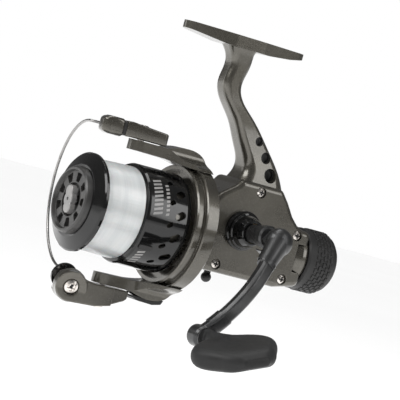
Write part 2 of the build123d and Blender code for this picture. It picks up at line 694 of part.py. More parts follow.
# seen along the shaft, the root runs out of the ring in a hollow curve
with BuildSketch(cross_plane(rotor_rear - 1)) as bell_profile:
    with BuildLine():
        Polyline((-root_half, root_line), (-root_half, 0), (root_half, 0), (root_half, root_line))
        Spline((root_half, root_line), (10.6, 27.4), (arm_half, 31.2),
               tangents=((-root_line, root_half), (-0.12, 1)))
        Polyline((arm_half, 31.2), (arm_half, 40), (-arm_half, 40), (-arm_half, 31.2))
        Spline((-arm_half, 31.2), (-10.6, 27.4), (-root_half, root_line),
               tangents=((-0.12, -1), (-root_line, -root_half)))
    make_face()
root_bell = bell_profile.sketch
# its back rises from the ring evenly, as a turned shape does
with BuildSketch(main_line) as rise_profile:
    with BuildLine():
        Polyline(arm_back[-1], (rotor_rear, 0), (arm_back[0][0], 0), arm_back[0])
        Spline(*arm_back)
    make_face()
root_rise = revolve(rise_profile.sketch, axis=Axis(main_line.origin, (1, 0, 0)))
# seen from above, it narrows forwards to the arm's own width
with BuildSketch(Plane(origin=(0, 0, axis_z))) as plan_profile:
    with BuildLine():
        Spline((arm_bend, arm_half), (17.0, 7.6), (wall_front, 12.6),
               tangents=((-1, 0), (-0.7, 1)))
        Polyline((wall_front, 12.6), (rotor_rear - 1, root_half),
                 (rotor_rear - 1, -root_half), (wall_front, -12.6))
        Spline((wall_front, -12.6), (17.0, -7.6), (arm_bend, -arm_half),
               tangents=((0.7, 1), (1, 0)))
        Line((arm_bend, -arm_half), (arm_bend, arm_half))
    make_face()
root_plan = plan_profile.sketch

arm_cover_screw_r = 0.8
cover_screw_line = Plane(origin=(16.4, 0, axis_z - arm_root_h - 0.7), x_dir=(0, 0, -1),
                         z_dir=(0, 1, 0))

with BuildPart() as rotor:
    turned(main_line, [
        (rotor_rear, rotor_r - 1.5), (rotor_rear, rotor_r - 0.5), (rotor_rear + 0.5, rotor_r),
        (rotor_rear + rotor_band - 0.5, rotor_r), (rotor_rear + rotor_band, rotor_r - 0.5),
        (rotor_rear + rotor_band, lip_outer), (lip_front - 0.6, lip_outer),
        (lip_front, lip_outer - 0.6), (lip_front, lip_inner), (wall_front, lip_inner),
        (wall_front, rotor_cup_r), (cup_front - 0.8, rotor_cup_r), (cup_front, rotor_cup_r - 0.8),
        (cup_front, rotor_seat_r), (rotor_hub_x, rotor_seat_r), (rotor_hub_x, 6.2),
        (cup_front - 1.6, 6.2), (cup_front - 1.6, rotor_cup_r - 1.6),
        (wall_front - 1.5, rotor_cup_r - 1.6), (wall_front - 1.5, rotor_r - 1.5),
    ])
    strap = extrude(arm_side, amount=arm_half, both=True, mode=Mode.PRIVATE)
    # root of the arm: its side outline, narrowed by a bell shape and a tapering plan
    wide_strap = extrude(arm_side, amount=root_half, both=True, mode=Mode.PRIVATE)
    bell = extrude(root_bell, amount=arm_bend, mode=Mode.PRIVATE)
    plan = extrude(root_plan, amount=arm_root_h + 1, mode=Mode.PRIVATE)
    root = wide_strap & bell & plan & root_rise
    for turn in (0, 180):
        add(strap.rotate(Axis(main_line.origin, (1, 0, 0)), turn))
        add(root.rotate(Axis(main_line.origin, (1, 0, 0)), turn))
    tips = rotor.edges().filter_by(Axis.Z).group_by(Axis.X)[-1]
    fillet(tips, arm_tip_round)
    # bail pivot holes and the spring's pocket
    for side in (1, -1):
        pivot = Plane(origin=(pivot_x, 0, axis_z), x_dir=(0, 0, side), z_dir=(0, 1, 0))
        tube(pivot, arm_inner + 1.0, arm_tip_h + 1, pivot_screw_r, mode=Mode.SUBTRACT)
    tube(Plane(origin=(pivot_x, 0, axis_z), x_dir=(0, 0, 1), z_dir=(0, 1, 0)),
         arm_tip_h - spring_pocket, arm_tip_h + 1, spring_pocket_r, pivot_screw_r + 0.6,
         mode=Mode.SUBTRACT)
    tube(cover_screw_line, -3.4, 1, arm_cover_screw_r, mode=Mode.SUBTRACT)
save(rotor, "rotor")

cover_front = arm_bend - 0.6
arm_cover_thick = 1.6
arm_cover_half = arm_half - 0.4
with BuildPart() as arm_cover:
    prism(side_plane(0), [
        (cover_front, -arm_root_h + 0.6), (13.0, -arm_root_h), (8.2, -arm_root_h + 1.2),
        (9.2, -arm_root_h - 0.7), (13.4, -arm_root_h - arm_cover_thick),
        (21.0, -arm_root_h - arm_cover_thick + 0.4), (cover_front, -arm_root_h - 0.2)],
        arm_cover_half, both=True)
    tube(cover_screw_line, -1, 5, arm_cover_screw_r, mode=Mode.SUBTRACT)
    tube(cover_screw_line, 0, 5, 1.8, mode=Mode.SUBTRACT)
    add(rotor.part, mode=Mode.SUBTRACT)
save(arm_cover, "arm_cover")

with BuildPart() as arm_cover_screw:
    cross_screw(cover_screw_line, 1.6, 0.9, arm_cover_screw_r, 3.4)
save(arm_cover_screw, "arm_cover_screw")

with BuildPart() as rotor_washer:
    tube(main_line, rotor_nut_x, rotor_nut_x + 0.5, 6.4, rotor_seat_r)
save(rotor_washer, "rotor_washer")

with BuildPart() as rotor_nut:
    with BuildSketch(cross_plane(rotor_nut_x + 0.5)):
        RegularPolygon(5.6, 6)
        Circle(rotor_seat_r, mode=Mode.SUBTRACT)
    extrude(amount=nut_width)
save(rotor_nut, "rotor_nut")

# ---------------------------------------------------------------- bail
toe = radians(bail_toe)
lever_in = 0.4                          # gap between an arm's outer face and a lever


def bail_frame(h):
    """Plane at height h with local x along the bail levers and y to the far side."""
    return Plane(origin=(pivot_x, 0, axis_z + h), x_dir=(cos(toe), -sin(toe), 0),
                 z_dir=(0, 0, -1))


def lever_side(w):
    """Upright plane along the levers, w to the far side, with local (s, h) coordinates."""
    origin = bail_frame(0).from_local_coords(Vector(0, w, 0))
    return Plane(origin=origin, x_dir=(cos(toe), -sin(toe), 0), z_dir=(-sin(toe), -cos(toe), 0))


holder_base = arm_tip_h + lever_in
holder_top = holder_base + 6.0
holder_crown = holder_top + 1.0
lever_tail = 11.0
lever_half = 4.4
wire_top_h = 34.6
wire_low_h = -29.3
wire_lean = 3.6                         # degrees
wire_top_s = bail_reach + wire_top_h * tan(radians(wire_lean))
wire_corner_r = 2.6                     # bend where the wire leaves the holder
holder_front = 19.6                     # s where the holder ends
wire_entry = wire_top_s - wire_corner_r - holder_front + 4.0
front_start = arm_tip_x - pivot_x + 1.7  # the levers step down in front of the arm tip

# the wire bows round the far side in a plane across the levers, leaning to the roller
lean = radians(wire_lean)
across = Vector(-sin(toe), -cos(toe), 0)
along = Vector(cos(toe), -sin(toe), 0)
wire_up = along * sin(lean) + Vector(0, 0, cos(lean))
wire_face = Plane(origin=bail_frame(0).from_local_coords(Vector(bail_reach, 0, 0)),
                  x_dir=across, z_dir=across.cross(wire_up))

with BuildPart() as bail_wire:
    points = [wire_face.from_local_coords(Vector(w, h, 0))
              for w, h in ((wire_corner_r, wire_top_h), (wire_bow_r + 0.4, 3.0), (4.2, wire_low_h))]
    with BuildLine() as wire_path:
        bow = ThreePointArc(*points)
        corner = bow @ 0 - (bow % 0) * wire_corner_r
        bend = TangentArc(corner - along * wire_corner_r, bow @ 0, tangent=along)
        Line(corner - along * (wire_corner_r + wire_entry), bend @ 0)
    start = corner - along * (wire_corner_r + wire_entry)
    with BuildSketch(Plane(origin=start, z_dir=along)) as wire_section:
        Circle(wire_r)
    sweep(sections=wire_section.sketch, path=wire_path.line)
save(bail_wire, "bail_wire")

with BuildPart() as bail_holder:
    with BuildSketch(bail_frame(holder_base)):
        with Locations((0, 0)):
            RectangleRounded(2 * lever_tail, 2 * lever_half, 1.2)
    extrude(amount=-(holder_top - holder_base))
    with BuildSketch(bail_frame(holder_base - 1.0)):
        with BuildLine():
            Polyline((front_start, -lever_half), (holder_front - 3.2, -3.9), (holder_front, -2.6),
                     (holder_front, 2.6), (holder_front - 3.2, 3.9), (front_start, lever_half),
                     close=True)
        make_face()
        fillet(vertices(), 0.9)
    extrude(amount=-(holder_crown - holder_base + 1.0))
    with BuildSketch(bail_frame(holder_top - 1.0)):
        with Locations((8.0, 0)):
            RectangleRounded(8.0, 2 * lever_half, 0.9)
    extrude(amount=-(holder_crown - holder_top + 1.0))
    top_rim = bail_holder.faces().filter_by(Axis.Z).sort_by(Axis.Z)[-1]
    chamfer(top_rim.edges(), 0.6)
    pivot = Plane(origin=(pivot_x, 0, axis_z), x_dir=(0, 0, 1), z_dir=(0, 1, 0))
    tube(pivot, holder_base - 1, holder_crown + 1, pivot_screw_r + running, mode=Mode.SUBTRACT)
    tube(pivot, holder_top - 1.2, holder_crown + 1, 3.0, mode=Mode.SUBTRACT)
    add(bail_wire.part, mode=Mode.SUBTRACT)
save(bail_holder, "bail_holder")

# roller axis: across the levers, rising to the far side
roller_tilt = 15.4
roller_s = 16.2
roller_h = -33.8
roller_centre = lever_side(0).from_local_coords(Vector(roller_s, roller_h, 0))
tilt = radians(roller_tilt)
roller_dir = Vector(-sin(toe) * cos(tilt), -cos(toe) * cos(tilt), sin(tilt))
roller_line = Plane(origin=roller_centre, x_dir=roller_dir, z_dir=(cos(toe), -sin(toe), 0))
eye_r = 7.0
eye_near = -8.2                         # span of the eye along the roller axis
eye_far = -3.6
roller_half = 3.0
roller_r = 3.3
roller_bore = 2.0
roller_shaft_r = 1.2
cap_start = roller_half + 0.4
wire_cap_r = 5.9
lever_base = -holder_base
lever_low = lever_base - 9.6

with BuildPart() as roller_lever:
    # bar under the arm
    with BuildSketch(lever_side(-lever_half)) as bar_side:
        with BuildLine():
            Polyline((-lever_tail, lever_base), (front_start + 1.0, lever_base),
                     (front_start + 1.0, lever_low), (4.0, lever_low), (-3.5, lever_low + 1.8),
                     (-lever_tail + 1.2, lever_base - 4.6), (-lever_tail, lever_base - 3.4),
                     close=True)
        make_face()
    extrude(bar_side.sketch, amount=2 * lever_half)
    # near side plate that runs out to the eye
    with BuildSketch(lever_side(eye_near + 0.6)) as plate_side:
        with Locations((roller_s, roller_h - 1.6)):
            Circle(eye_r)
        with BuildLine():
            Polyline((-3.5, lever_low + 1.8), (4.0, lever_low), (roller_s, roller_h - 1.6 - eye_r),
                     (roller_s + 5.5, roller_h - 5.5), (roller_s + 3.0, roller_h + 4.4),
                     (front_start, lever_base), (-3.5, lever_base), close=True)
        make_face()
    extrude(plate_side.sketch, amount=-eye_near - 0.6 - lever_half + 3.4)
    tube(roller_line, eye_near, eye_far, eye_r)
    # space of the roller and its cap, and the bores
    tube(roller_line, eye_far, 12, wire_cap_r + 1.4, mode=Mode.SUBTRACT)
    tube(roller_line, -20, eye_far + 1, roller_shaft_r, mode=Mode.SUBTRACT)
    tube(roller_line, -20, eye_near + 0.9, 3.5, mode=Mode.SUBTRACT)
    down = Plane(origin=(pivot_x, 0, axis_z), x_dir=(0, 0, -1), z_dir=(0, 1, 0))
    tube(down, -lever_base - 1, -lever_low + 1, pivot_screw_r + running, mode=Mode.SUBTRACT)
    tube(down, -lever_low - 1.4, -lever_low + 1, 3.0, mode=Mode.SUBTRACT)
save(roller_lever, "roller_lever")

with BuildPart() as roller_screw:
    cross_screw(Plane(origin=roller_line.from_local_coords(Vector(eye_near + 0.9, 0, 0)),
                      x_dir=-roller_dir, z_dir=roller_line.z_dir),
                3.0, 1.5, roller_shaft_r, cap_start + 2.6 - eye_near - 0.9)
save(roller_screw, "roller_screw")

with BuildPart() as roller_bush:
    tube(roller_line, eye_far, cap_start, roller_bore - running, roller_shaft_r)
save(roller_bush, "roller_bush")

with BuildPart() as line_roller:
    turned(roller_line, [(-roller_half, roller_bore), (-roller_half, roller_r + 0.6),
                         (-roller_half + 0.8, roller_r + 0.6), (-0.8, roller_r - 0.4),
                         (0.8, roller_r - 0.4), (roller_half - 0.8, roller_r + 0.6),
                         (roller_half, roller_r + 0.6), (roller_half, roller_bore)])
save(line_roller, "line_roller")

with BuildPart() as wire_cap:
    turned(roller_line, [(cap_start, 0), (cap_start, wire_cap_r), (cap_start + 1.6, wire_cap_r),
                         (cap_start + 3.6, wire_cap_r - 1.6), (cap_start + 4.8, wire_cap_r - 3.6),
                         (cap_start + 5.0, 0)])
    tube(roller_line, cap_start - 1, cap_start + 2.6, roller_shaft_r, mode=Mode.SUBTRACT)
    add(bail_wire.part, mode=Mode.SUBTRACT)
save(wire_cap, "wire_cap")

with BuildPart() as bail_pivot_screws:
    for side, seat in ((1, holder_top - 1.2), (-1, -lever_low - 1.4)):
        line = Plane(origin=(pivot_x, 0, axis_z + side * (seat + 0.3)), x_dir=(0, 0, side),
                     z_dir=(0, 1, 0))
        cross_screw(line, 2.6, 1.5, pivot_screw_r, seat + 0.3 - arm_inner - 1.0)
save(bail_pivot_screws, "bail_pivot_screws")

with BuildPart() as bail_spring:
    coil(Plane(origin=(pivot_x, 0, axis_z), x_dir=(0, 0, 1), z_dir=(0, 1, 0)),
         arm_tip_h - spring_pocket + 0.45, spring_pocket - 0.9,
         (spring_pocket_r + pivot_screw_r + 0.6) / 2, 0.3, 3)
save(bail_spring, "bail_spring")

# ---------------------------------------------------------------- spool and main shaft
back_x = lip_x - 1.5 - line_width       # rear end of the winding
skirt_rear = back_x - skirt_length
hub_r = 5.2
hub_rear = pinion_nose + stroke_back + 0.5
cap_rim_x = lip_x + cap_stand
cap_face_x = cap_rim_x + 0.6
cap_floor_x = cap_rim_x - 3.4
knob_floor = 1.4                        # end wall of the drag knob
shaft_rear = knob_rear + knob_floor + stroke_back + pass_gap
shaft_front = cap_floor_x - 1.2
flat_half = 1.35
clip_r = 2.3

with BuildPart() as main_shaft:
    tube(main_line, shaft_rear, shaft_front, main_shaft_r)
    # two flats that the drag hub turns with
    for side in (1, -1):
        prism(cross_plane(shaft_rear - 1),
              [(-3, side * flat_half), (3, side * flat_half), (3, side * 3), (-3, side * 3)],
              drag_wall_x + stroke_back + 1.7 - shaft_rear, mode=Mode.SUBTRACT)
save(main_shaft, "main_shaft")

with BuildPart() as shaft_clips:
    for start in (slider_x - slider_half - 1.0, slider_x + slider_half + 0.3):
        tube(main_line, start, start + 0.7, clip_r, main_shaft_r)
save(shaft_clips, "shaft_clips")

clip_turn = -32.0
with BuildPart() as line_clip:
    clip_plane = Plane(main_line.origin, x_dir=(1, 0, 0),
                       z_dir=(0, cos(radians(clip_turn)), sin(radians(clip_turn))))
    with BuildSketch(clip_plane.offset(skirt_r - 0.35)):
        with Locations((back_x - 5.2, 0)):
            RectangleRounded(6.5, 2.6, 0.8)
    extrude(amount=0.95)
save(line_clip, "line_clip")

skirt_holes = 14
with BuildPart() as spool:
    turned(main_line, [
        # skirt and rear wall
        (skirt_rear, skirt_r - skirt_wall), (skirt_rear, skirt_r - 0.4),
        (skirt_rear + 0.4, skirt_r), (back_x - 1.4, skirt_r), (back_x - 0.4, skirt_r - 0.5),
        (back_x, skirt_r - 1.6), (back_x, arbor_r),
        # front flange, its cone and the seat of the cap
        (lip_x - 1.5, arbor_r), (lip_x - 1.5, lip_r - 0.8), (lip_x - 0.9, lip_r),
        (lip_x + 0.3, lip_r), (lip_x + 1.0, lip_r - 0.7), (cap_rim_x - 2.4, cap_r + 1.5),
        (cap_rim_x - 2.4, cap_r - 1.6), (cap_floor_x - 1.2, cap_r - 1.6),
        # hub on the shaft and the hollow behind
        (cap_floor_x - 1.2, main_shaft_r), (hub_rear, main_shaft_r), (hub_rear, hub_r),
        (lip_x - 3.4, hub_r), (lip_x - 3.4, arbor_r - 1.5), (back_x - 1.8, arbor_r - 1.5),
        (back_x - 1.8, skirt_r - skirt_wall),
    ])
    for i in range(skirt_holes):
        turn = 360 * (i + 0.5) / skirt_holes
        rear_hole = Plane(main_line.origin, x_dir=(1, 0, 0),
                          z_dir=(0, cos(radians(turn)), sin(radians(turn))))
        with BuildSketch(rear_hole.offset(skirt_r - skirt_wall - 1)) as hole:
            with Locations((skirt_rear + 5.2, 0)):
                SlotOverall(5.4, 3.2, rotation=32)
            with Locations((skirt_rear + 9.6, 4.6)):
                SlotOverall(3.2, 2.0, rotation=32)
        extrude(hole.sketch, amount=skirt_wall + 2, mode=Mode.SUBTRACT)
    add(line_clip.part, mode=Mode.SUBTRACT)
save(spool, "spool")

with BuildPart() as line_winding:
    turned(main_line, [(back_x, arbor_r), (lip_x - 1.5, arbor_r), (lip_x - 1.5, line_front_r - 0.3),
                       (lip_x - 2.1, line_front_r), (back_x + 0.6, line_rear_r),
                       (back_x, line_rear_r - 0.4)])
save(line_winding, "line_winding")

petals = 9
petal_mid = 9.9             # middle of the openings, from the axis
petal_half = 2.0
petal_outer = 2.3           # half the width of an opening at its outer end
petal_angle = 75            # of its two sides, degrees
button_r = 6.2
shaft_seat_r = 1.2                      # bore in the cap's floor
with BuildPart() as spool_cap:
    turned(main_line, [
        (cap_floor_x - 1.2, cap_r - 1.6), (cap_rim_x - 2.4, cap_r - 1.6),
        (cap_rim_x - 2.4, cap_r + 0.4), (cap_rim_x, cap_r), (cap_face_x, cap_r - 0.6),
        (cap_face_x, cap_r - 1.4), (cap_rim_x - 0.8, cap_r - 2.0), (cap_rim_x - 0.8, button_r + 1.2),
        (cap_floor_x, button_r + 1.2), (cap_floor_x, shaft_seat_r),
        (cap_floor_x - 1.2, shaft_seat_r)])
    with BuildSketch(cross_plane(cap_rim_x)) as openings:
        with PolarLocations(petal_mid, petals):
            Trapezoid(2 * petal_outer, 2 * petal_half, petal_angle, rotation=90)
        fillet(openings.vertices(), 0.6)
    extrude(openings.sketch, amount=-2.6, mode=Mode.SUBTRACT)
save(spool_cap, "spool_cap")

button_travel = 1.6
button_face = cap_face_x + 0.4
with BuildPart() as spool_button:
    with BuildSketch(cross_plane(button_face - 2.6)):
        Circle(3.3)
        for turn in (100, 280):
            with Locations((3.4 * cos(radians(turn)), 3.4 * sin(radians(turn)))):
                Circle(2.8)
    extrude(amount=2.6)
    front = spool_button.faces().filter_by(Axis.X).sort_by(Axis.X)[-1]
    fillet(front.edges(), 0.6)
    tube(main_line, button_face - 0.9, button_face + 1, 0.8, mode=Mode.SUBTRACT)
save(spool_button, "spool_button")

with BuildPart() as button_spring:
    start = cap_floor_x + 0.3
    coil(main_line, start, button_face - 2.6 - start - 0.3, 1.8, 0.25, 2)
save(button_spring, "button_spring")

# ---------------------------------------------------------------- drag
washer_thick = 0.6
washer_pitch = washer_thick + 0.3
drag_hub_r = 3.6
first_washer = drag_wall_x - 0.3
hub_end = first_washer - 6 * washer_pitch - 1.2

with BuildPart() as drag_hub:
    tube(main_line, hub_end, first_washer, drag_hub_r)
    bore = main_shaft_r + 0.06
    with BuildSketch(cross_plane(hub_end)) as keyed:
        Circle(bore)
        Rectangle(2 * bore, 2 * (flat_half + 0.06), mode=Mode.INTERSECT)
    extrude(keyed.sketch, amount=first_washer - hub_end, mode=Mode.SUBTRACT)
save(drag_hub, "drag_hub")

with BuildPart() as drag_keyed_washers:
    for i in (0, 2, 4):
        front = first_washer - i * washer_pitch
        tube(main_line, front - washer_thick, front, rear_tube_bore - 0.5, drag_hub_r)
save(drag_keyed_washers, "drag_keyed_washers")

with BuildPart() as drag_eared_washers:
    for i in (1, 3, 5):
        front = first_washer - i * washer_pitch
        with BuildSketch(cross_plane(front - washer_thick)):
            Circle(rear_tube_bore - 0.05)
            Rectangle(2 * ear_r - 0.2, ear_width - 0.1)
            Circle(drag_hub_r + 0.4, mode=Mode.SUBTRACT)
        extrude(amount=washer_thick)
save(drag_eared_washers, "drag_eared_washers")

spring_front = first_washer - 5 * washer_pitch - washer_thick
plug_front = spring_front - 5.0
with BuildPart() as drag_spring:
    coil(main_line, plug_front + 1.3, spring_front - plug_front - 1.8, 6.0, 0.45, 3)
save(drag_spring, "drag_spring")

with BuildPart() as drag_thrust_washer:
    tube(main_line, plug_front + 0.3, plug_front + 0.9, rear_tube_bore - 0.05, drag_hub_r + 0.4)
save(drag_thrust_washer, "drag_thrust_washer")

knob_front = case_rear - pass_gap
with BuildPart() as drag_knob:
    inner = rear_tube_end - 0.6
    turned(main_line, [
        (knob_front, rear_tube_r + 0.5), (knob_front, knob_r - 0.8), (knob_front - 0.8, knob_r),
        (knob_rear + 4.6, knob_r), (knob_rear + 2.0, knob_r - 1.0), (knob_rear + 0.6, knob_r - 2.4),
        (knob_rear, knob_r - 4.0), (knob_rear, 0), (knob_rear + knob_floor, 0),
        (knob_rear + knob_floor, main_shaft_r + pass_gap), (plug_front, main_shaft_r + pass_gap),
        (plug_front, rear_tube_bore - 0.07), (inner, rear_tube_bore - 0.07),
        (inner, rear_tube_r + 0.5)])
save(drag_knob, "drag_knob")

# ---------------------------------------------------------------- handle
fall = radians(arm_fall)
arm_dir = Vector(cos(fall), 0, -sin(fall))
pin_dir = Vector(sin(fall), 0, cos(fall))
pin_centre = Vector(crank_x, handle_y, crank_z)
fold_plane = Plane(origin=pin_centre, x_dir=arm_dir, z_dir=pin_dir)      # local y is +Y
arm_plan = Plane(origin=pin_centre, x_dir=arm_dir, z_dir=(0, 1, 0))
fold_pin_r = 1.1
knuckle_r = 5.5
knuckle_half = 4.0
knuckle_shift = 1.6                     # middle of the knuckle from the pin, along the arm
tongue_r = 3.0
tongue_half = 2.3
clevis_base = handle_y - 11.5

with BuildPart() as handle_neck:
    start = case_half + boss_h + 0.6
    turned(crank_line, [(start, crank_shaft_r), (start, neck_r_handle),
                        (clevis_base - 3.0, neck_r_handle), (clevis_base - 2.4, neck_r_handle + 0.7),
                        (clevis_base, neck_r_handle + 0.7), (clevis_base, 0),
                        (case_half + 8.5, 0), (case_half + 8.5, crank_shaft_r)])
    for i in range(4):
        groove = boss_end + 1.0 + 1.5 * i
        tube(crank_line, groove, groove + 0.6, neck_r_handle + 1, neck_r_handle - 0.4,
             mode=Mode.SUBTRACT)
save(handle_neck, "handle_neck")

with BuildPart() as handle_clevis:
    turned(crank_line, [(clevis_base, 0), (clevis_base, 5.2), (clevis_base + 2.6, 5.2),
                        (clevis_base + 3.4, 4.4), (clevis_base + 3.4, 0)])
    with BuildSketch(fold_plane.offset(-tongue_half)) as tongue:
        Circle(tongue_r)
        with Locations((0, -(handle_y - clevis_base - 2.0) / 2)):
            Rectangle(2 * tongue_r, handle_y - clevis_base - 2.0)
        Circle(fold_pin_r + running, mode=Mode.SUBTRACT)
    extrude(tongue.sketch, amount=2 * tongue_half)
save(handle_clevis, "handle_clevis")

arm_width = 6.8
arm_thick = 5.8
arm_end = (arm_length, 3.2)             # middle of the knob's seat, along the arm and outwards
arm_bow = 9.3                           # how far the arm's middle stands out
with BuildPart() as handle_arm:
    with BuildSketch(arm_plan.offset(-knuckle_half)) as head:
        with Locations((knuckle_shift, 0)):
            Circle(knuckle_r)
        with BuildLine():
            Polyline((knuckle_shift, -knuckle_r), (9.5, -arm_width / 2 - 0.4),
                     (9.5, arm_width / 2 + 0.4), (knuckle_shift, knuckle_r), close=True)
        make_face()
    extrude(head.sketch, amount=2 * knuckle_half)
    # bowed bar between the knuckle and the knob's seat
    with BuildLine(fold_plane) as bow_line:
        bow = ThreePointArc((5.0, 0.4), (arm_length * 0.55, arm_bow), (arm_length - 2.0, 3.4))
    with BuildSketch(Plane(origin=bow @ 0, x_dir=pin_dir, z_dir=bow % 0)) as bar:
        with BuildLine():
            Polyline((-arm_width / 2, -1.4), (-arm_width / 2 + 1.2, -arm_thick / 2),
                     (arm_width / 2 - 1.2, -arm_thick / 2), (arm_width / 2, -1.4),
                     (arm_width / 2, 1.2), (0.6, arm_thick / 2 + 0.3), (-0.6, arm_thick / 2 + 0.3),
                     (-arm_width / 2, 1.2), close=True)
        make_face()
        fillet(bar.vertices(), 0.5)
    sweep(sections=bar.sketch, path=bow)
    # knob seat
    seat = Plane(origin=fold_plane.from_local_coords(Vector(*arm_end, 0)), x_dir=(0, 1, 0),
                 z_dir=(1, 0, 0))
    turned(seat, [(-4.4, 0), (-4.4, 3.4), (-3.0, 4.8), (2.6, 4.8), (4.0, 4.0), (4.4, 3.2),
                  (4.4, 0)])
    # fork slot, open to the body, and the pin's bore
    with BuildSketch(fold_plane.offset(-tongue_half - 0.3)) as slot:
        Circle(tongue_r + pass_gap)
        with BuildLine():
            Polyline((-tongue_r - 0.4, 0), (tongue_r + 0.4, 0), (7.6, -knuckle_half - 1),
                     (-tongue_r - 1.0, -knuckle_half - 1), close=True)
        make_face()
    extrude(slot.sketch, amount=2 * tongue_half + 0.6, mode=Mode.SUBTRACT)
    with BuildSketch(fold_plane.offset(-knuckle_r - 1)) as bore:
        Circle(fold_pin_r)
    extrude(bore.sketch, amount=2 * knuckle_r + 2, mode=Mode.SUBTRACT)
save(handle_arm, "handle_arm")

with BuildPart() as fold_pin:
    with BuildSketch(fold_plane.offset(-knuckle_r + 0.3)) as round_pin:
        Circle(fold_pin_r)
    extrude(round_pin.sketch, amount=2 * knuckle_r - 0.6)
save(fold_pin, "fold_pin")

spindle_r = 1.5
knob_clear = 0.4            # the collar runs on the spindle, the knob's bore clears it
spindle_end = 24.0                      # from the middle of the seat
flange_start = 20.6
seat_end = 4.4
with BuildPart() as knob_spindle:
    turned(seat, [(seat_end, 0), (seat_end, spindle_r + 1.4), (seat_end + 0.8, spindle_r + 1.4),
                  (seat_end + 0.8, spindle_r), (flange_start, spindle_r),
                  (flange_start, spindle_r + 0.6), (flange_start + 0.8, spindle_r + 0.6),
                  (flange_start + 0.8, spindle_r), (spindle_end, spindle_r), (spindle_end, 0)])
save(knob_spindle, "knob_spindle")

collar_end = 6.6
with BuildPart() as knob_collar:
    turned(seat, [(seat_end + 1.1, spindle_r + running), (seat_end + 1.1, 4.6),
                  (collar_end - 0.3, 4.9), (collar_end, 4.9), (collar_end, spindle_r + running)])
save(knob_collar, "knob_collar")

paddle_turn = 19.4
knob_sections = [           # (share of the way out, share of the length, thickness, drop)
    (0.00, 0.235, 9.4, 0.0), (0.15, 0.245, 8.8, 0.6), (0.28, 0.50, 8.4, 1.1),
    (0.425, 0.925, 8.4, 1.4), (0.54, 1.0, 8.9, 1.9), (0.69, 0.86, 9.0, 2.4),
    (0.84, 0.66, 8.2, 2.8), (0.93, 0.49, 6.2, 3.1), (1.00, 0.32, 3.6, 3.3),
]
with BuildPart() as handle_knob:
    for share, width, thick, drop in knob_sections:
        along_seat = collar_end + share * (paddle_end - collar_end)
        middle = seat.from_local_coords(Vector(along_seat, 0, 0)) - Vector(0.45 * drop, 0, drop)
        with BuildSketch(Plane(origin=middle,
                               x_dir=(cos(radians(paddle_turn)), 0, -sin(radians(paddle_turn))),
                               z_dir=(0, 1, 0))):
            RectangleRounded(width * paddle_length, thick, thick * 0.49)
    loft()
    tube(seat, 0, spindle_end + knob_clear, spindle_r + knob_clear, mode=Mode.SUBTRACT)
    tube(seat, flange_start - knob_clear, flange_start + 0.8 + knob_clear,
         spindle_r + 0.6 + knob_clear, mode=Mode.SUBTRACT)
save(handle_knob, "handle_knob")
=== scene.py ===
# %% [markdown]
# # A rear-drag spinning reel
#
# This lesson dresses a fishing reel whose metal and plastic parts already exist as solids.
# A frame of those solids is loaded first and is never changed. Everything in this file
# either gives one of them a finish, puts a softer skin in its place, or adds a small piece
# that a solid model leaves out: the wound line, the grip on the drag knob, the print on
# the spool.
#
# Blender counts in metres, and a reel is measured in millimetres, so lengths are written
# as millimetres times `mm`. X points out of the spool, Y towards the handle and Z up to
# the foot that clamps on the rod.

# %% Load the frame
import json
from math import cos, pi, radians, sin

import bmesh
import bpy
from mathutils import Matrix, Vector


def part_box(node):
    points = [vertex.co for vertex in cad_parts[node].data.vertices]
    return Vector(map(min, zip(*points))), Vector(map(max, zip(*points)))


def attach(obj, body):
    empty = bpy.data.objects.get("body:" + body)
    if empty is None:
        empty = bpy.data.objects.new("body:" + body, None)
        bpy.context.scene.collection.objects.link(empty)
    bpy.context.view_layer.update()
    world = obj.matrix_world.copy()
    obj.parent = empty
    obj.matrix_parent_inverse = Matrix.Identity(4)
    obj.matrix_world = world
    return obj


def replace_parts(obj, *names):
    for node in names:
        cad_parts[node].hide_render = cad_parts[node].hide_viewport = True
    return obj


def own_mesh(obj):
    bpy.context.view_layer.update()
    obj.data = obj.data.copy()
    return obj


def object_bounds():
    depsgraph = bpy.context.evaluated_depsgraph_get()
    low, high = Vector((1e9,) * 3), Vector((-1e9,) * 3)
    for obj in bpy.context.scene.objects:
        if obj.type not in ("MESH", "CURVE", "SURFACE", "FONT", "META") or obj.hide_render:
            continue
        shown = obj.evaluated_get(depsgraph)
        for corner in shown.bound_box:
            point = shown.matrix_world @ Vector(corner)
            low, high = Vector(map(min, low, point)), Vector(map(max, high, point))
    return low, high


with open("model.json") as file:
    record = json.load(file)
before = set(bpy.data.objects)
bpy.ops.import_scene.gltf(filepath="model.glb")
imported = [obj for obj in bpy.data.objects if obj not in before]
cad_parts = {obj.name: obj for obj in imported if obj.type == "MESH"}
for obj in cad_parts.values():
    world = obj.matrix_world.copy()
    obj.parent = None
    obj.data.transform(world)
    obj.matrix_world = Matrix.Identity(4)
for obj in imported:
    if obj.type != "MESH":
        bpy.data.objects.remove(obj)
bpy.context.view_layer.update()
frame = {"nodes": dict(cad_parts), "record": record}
nodes = frame["nodes"]
mm = 0.001

# %% [markdown]
# ## The places that everything is measured from
#
# A reel is turned work: the spool, the rotor and the drag knob all share the main shaft.
# Its height is read from the shaft's own box, so no height is typed twice.

# %% Where the main shaft runs
shaft_low, shaft_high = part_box("main_shaft")
axis_z = (shaft_low.z + shaft_high.z) / 2
spool_low, spool_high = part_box("spool")
line_low, line_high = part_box("line_winding")
knob_low, knob_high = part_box("drag_knob")
print("main shaft height, mm:", round(axis_z / mm, 2))
print("winding from, to, mm:", round(line_low.x / mm, 2), round(line_high.x / mm, 2))

# %% [markdown]
# ## The camera
#
# A long lens a good metre away keeps a small object's lines nearly parallel. The camera
# looks level at the handle side, from a little in front, and is rolled by fifteen degrees,
# which makes the reel lean back as if it hung from a rod. The three axes are written out,
# because a roll is easier to read as the camera's own X, Y and Z than as three angles.

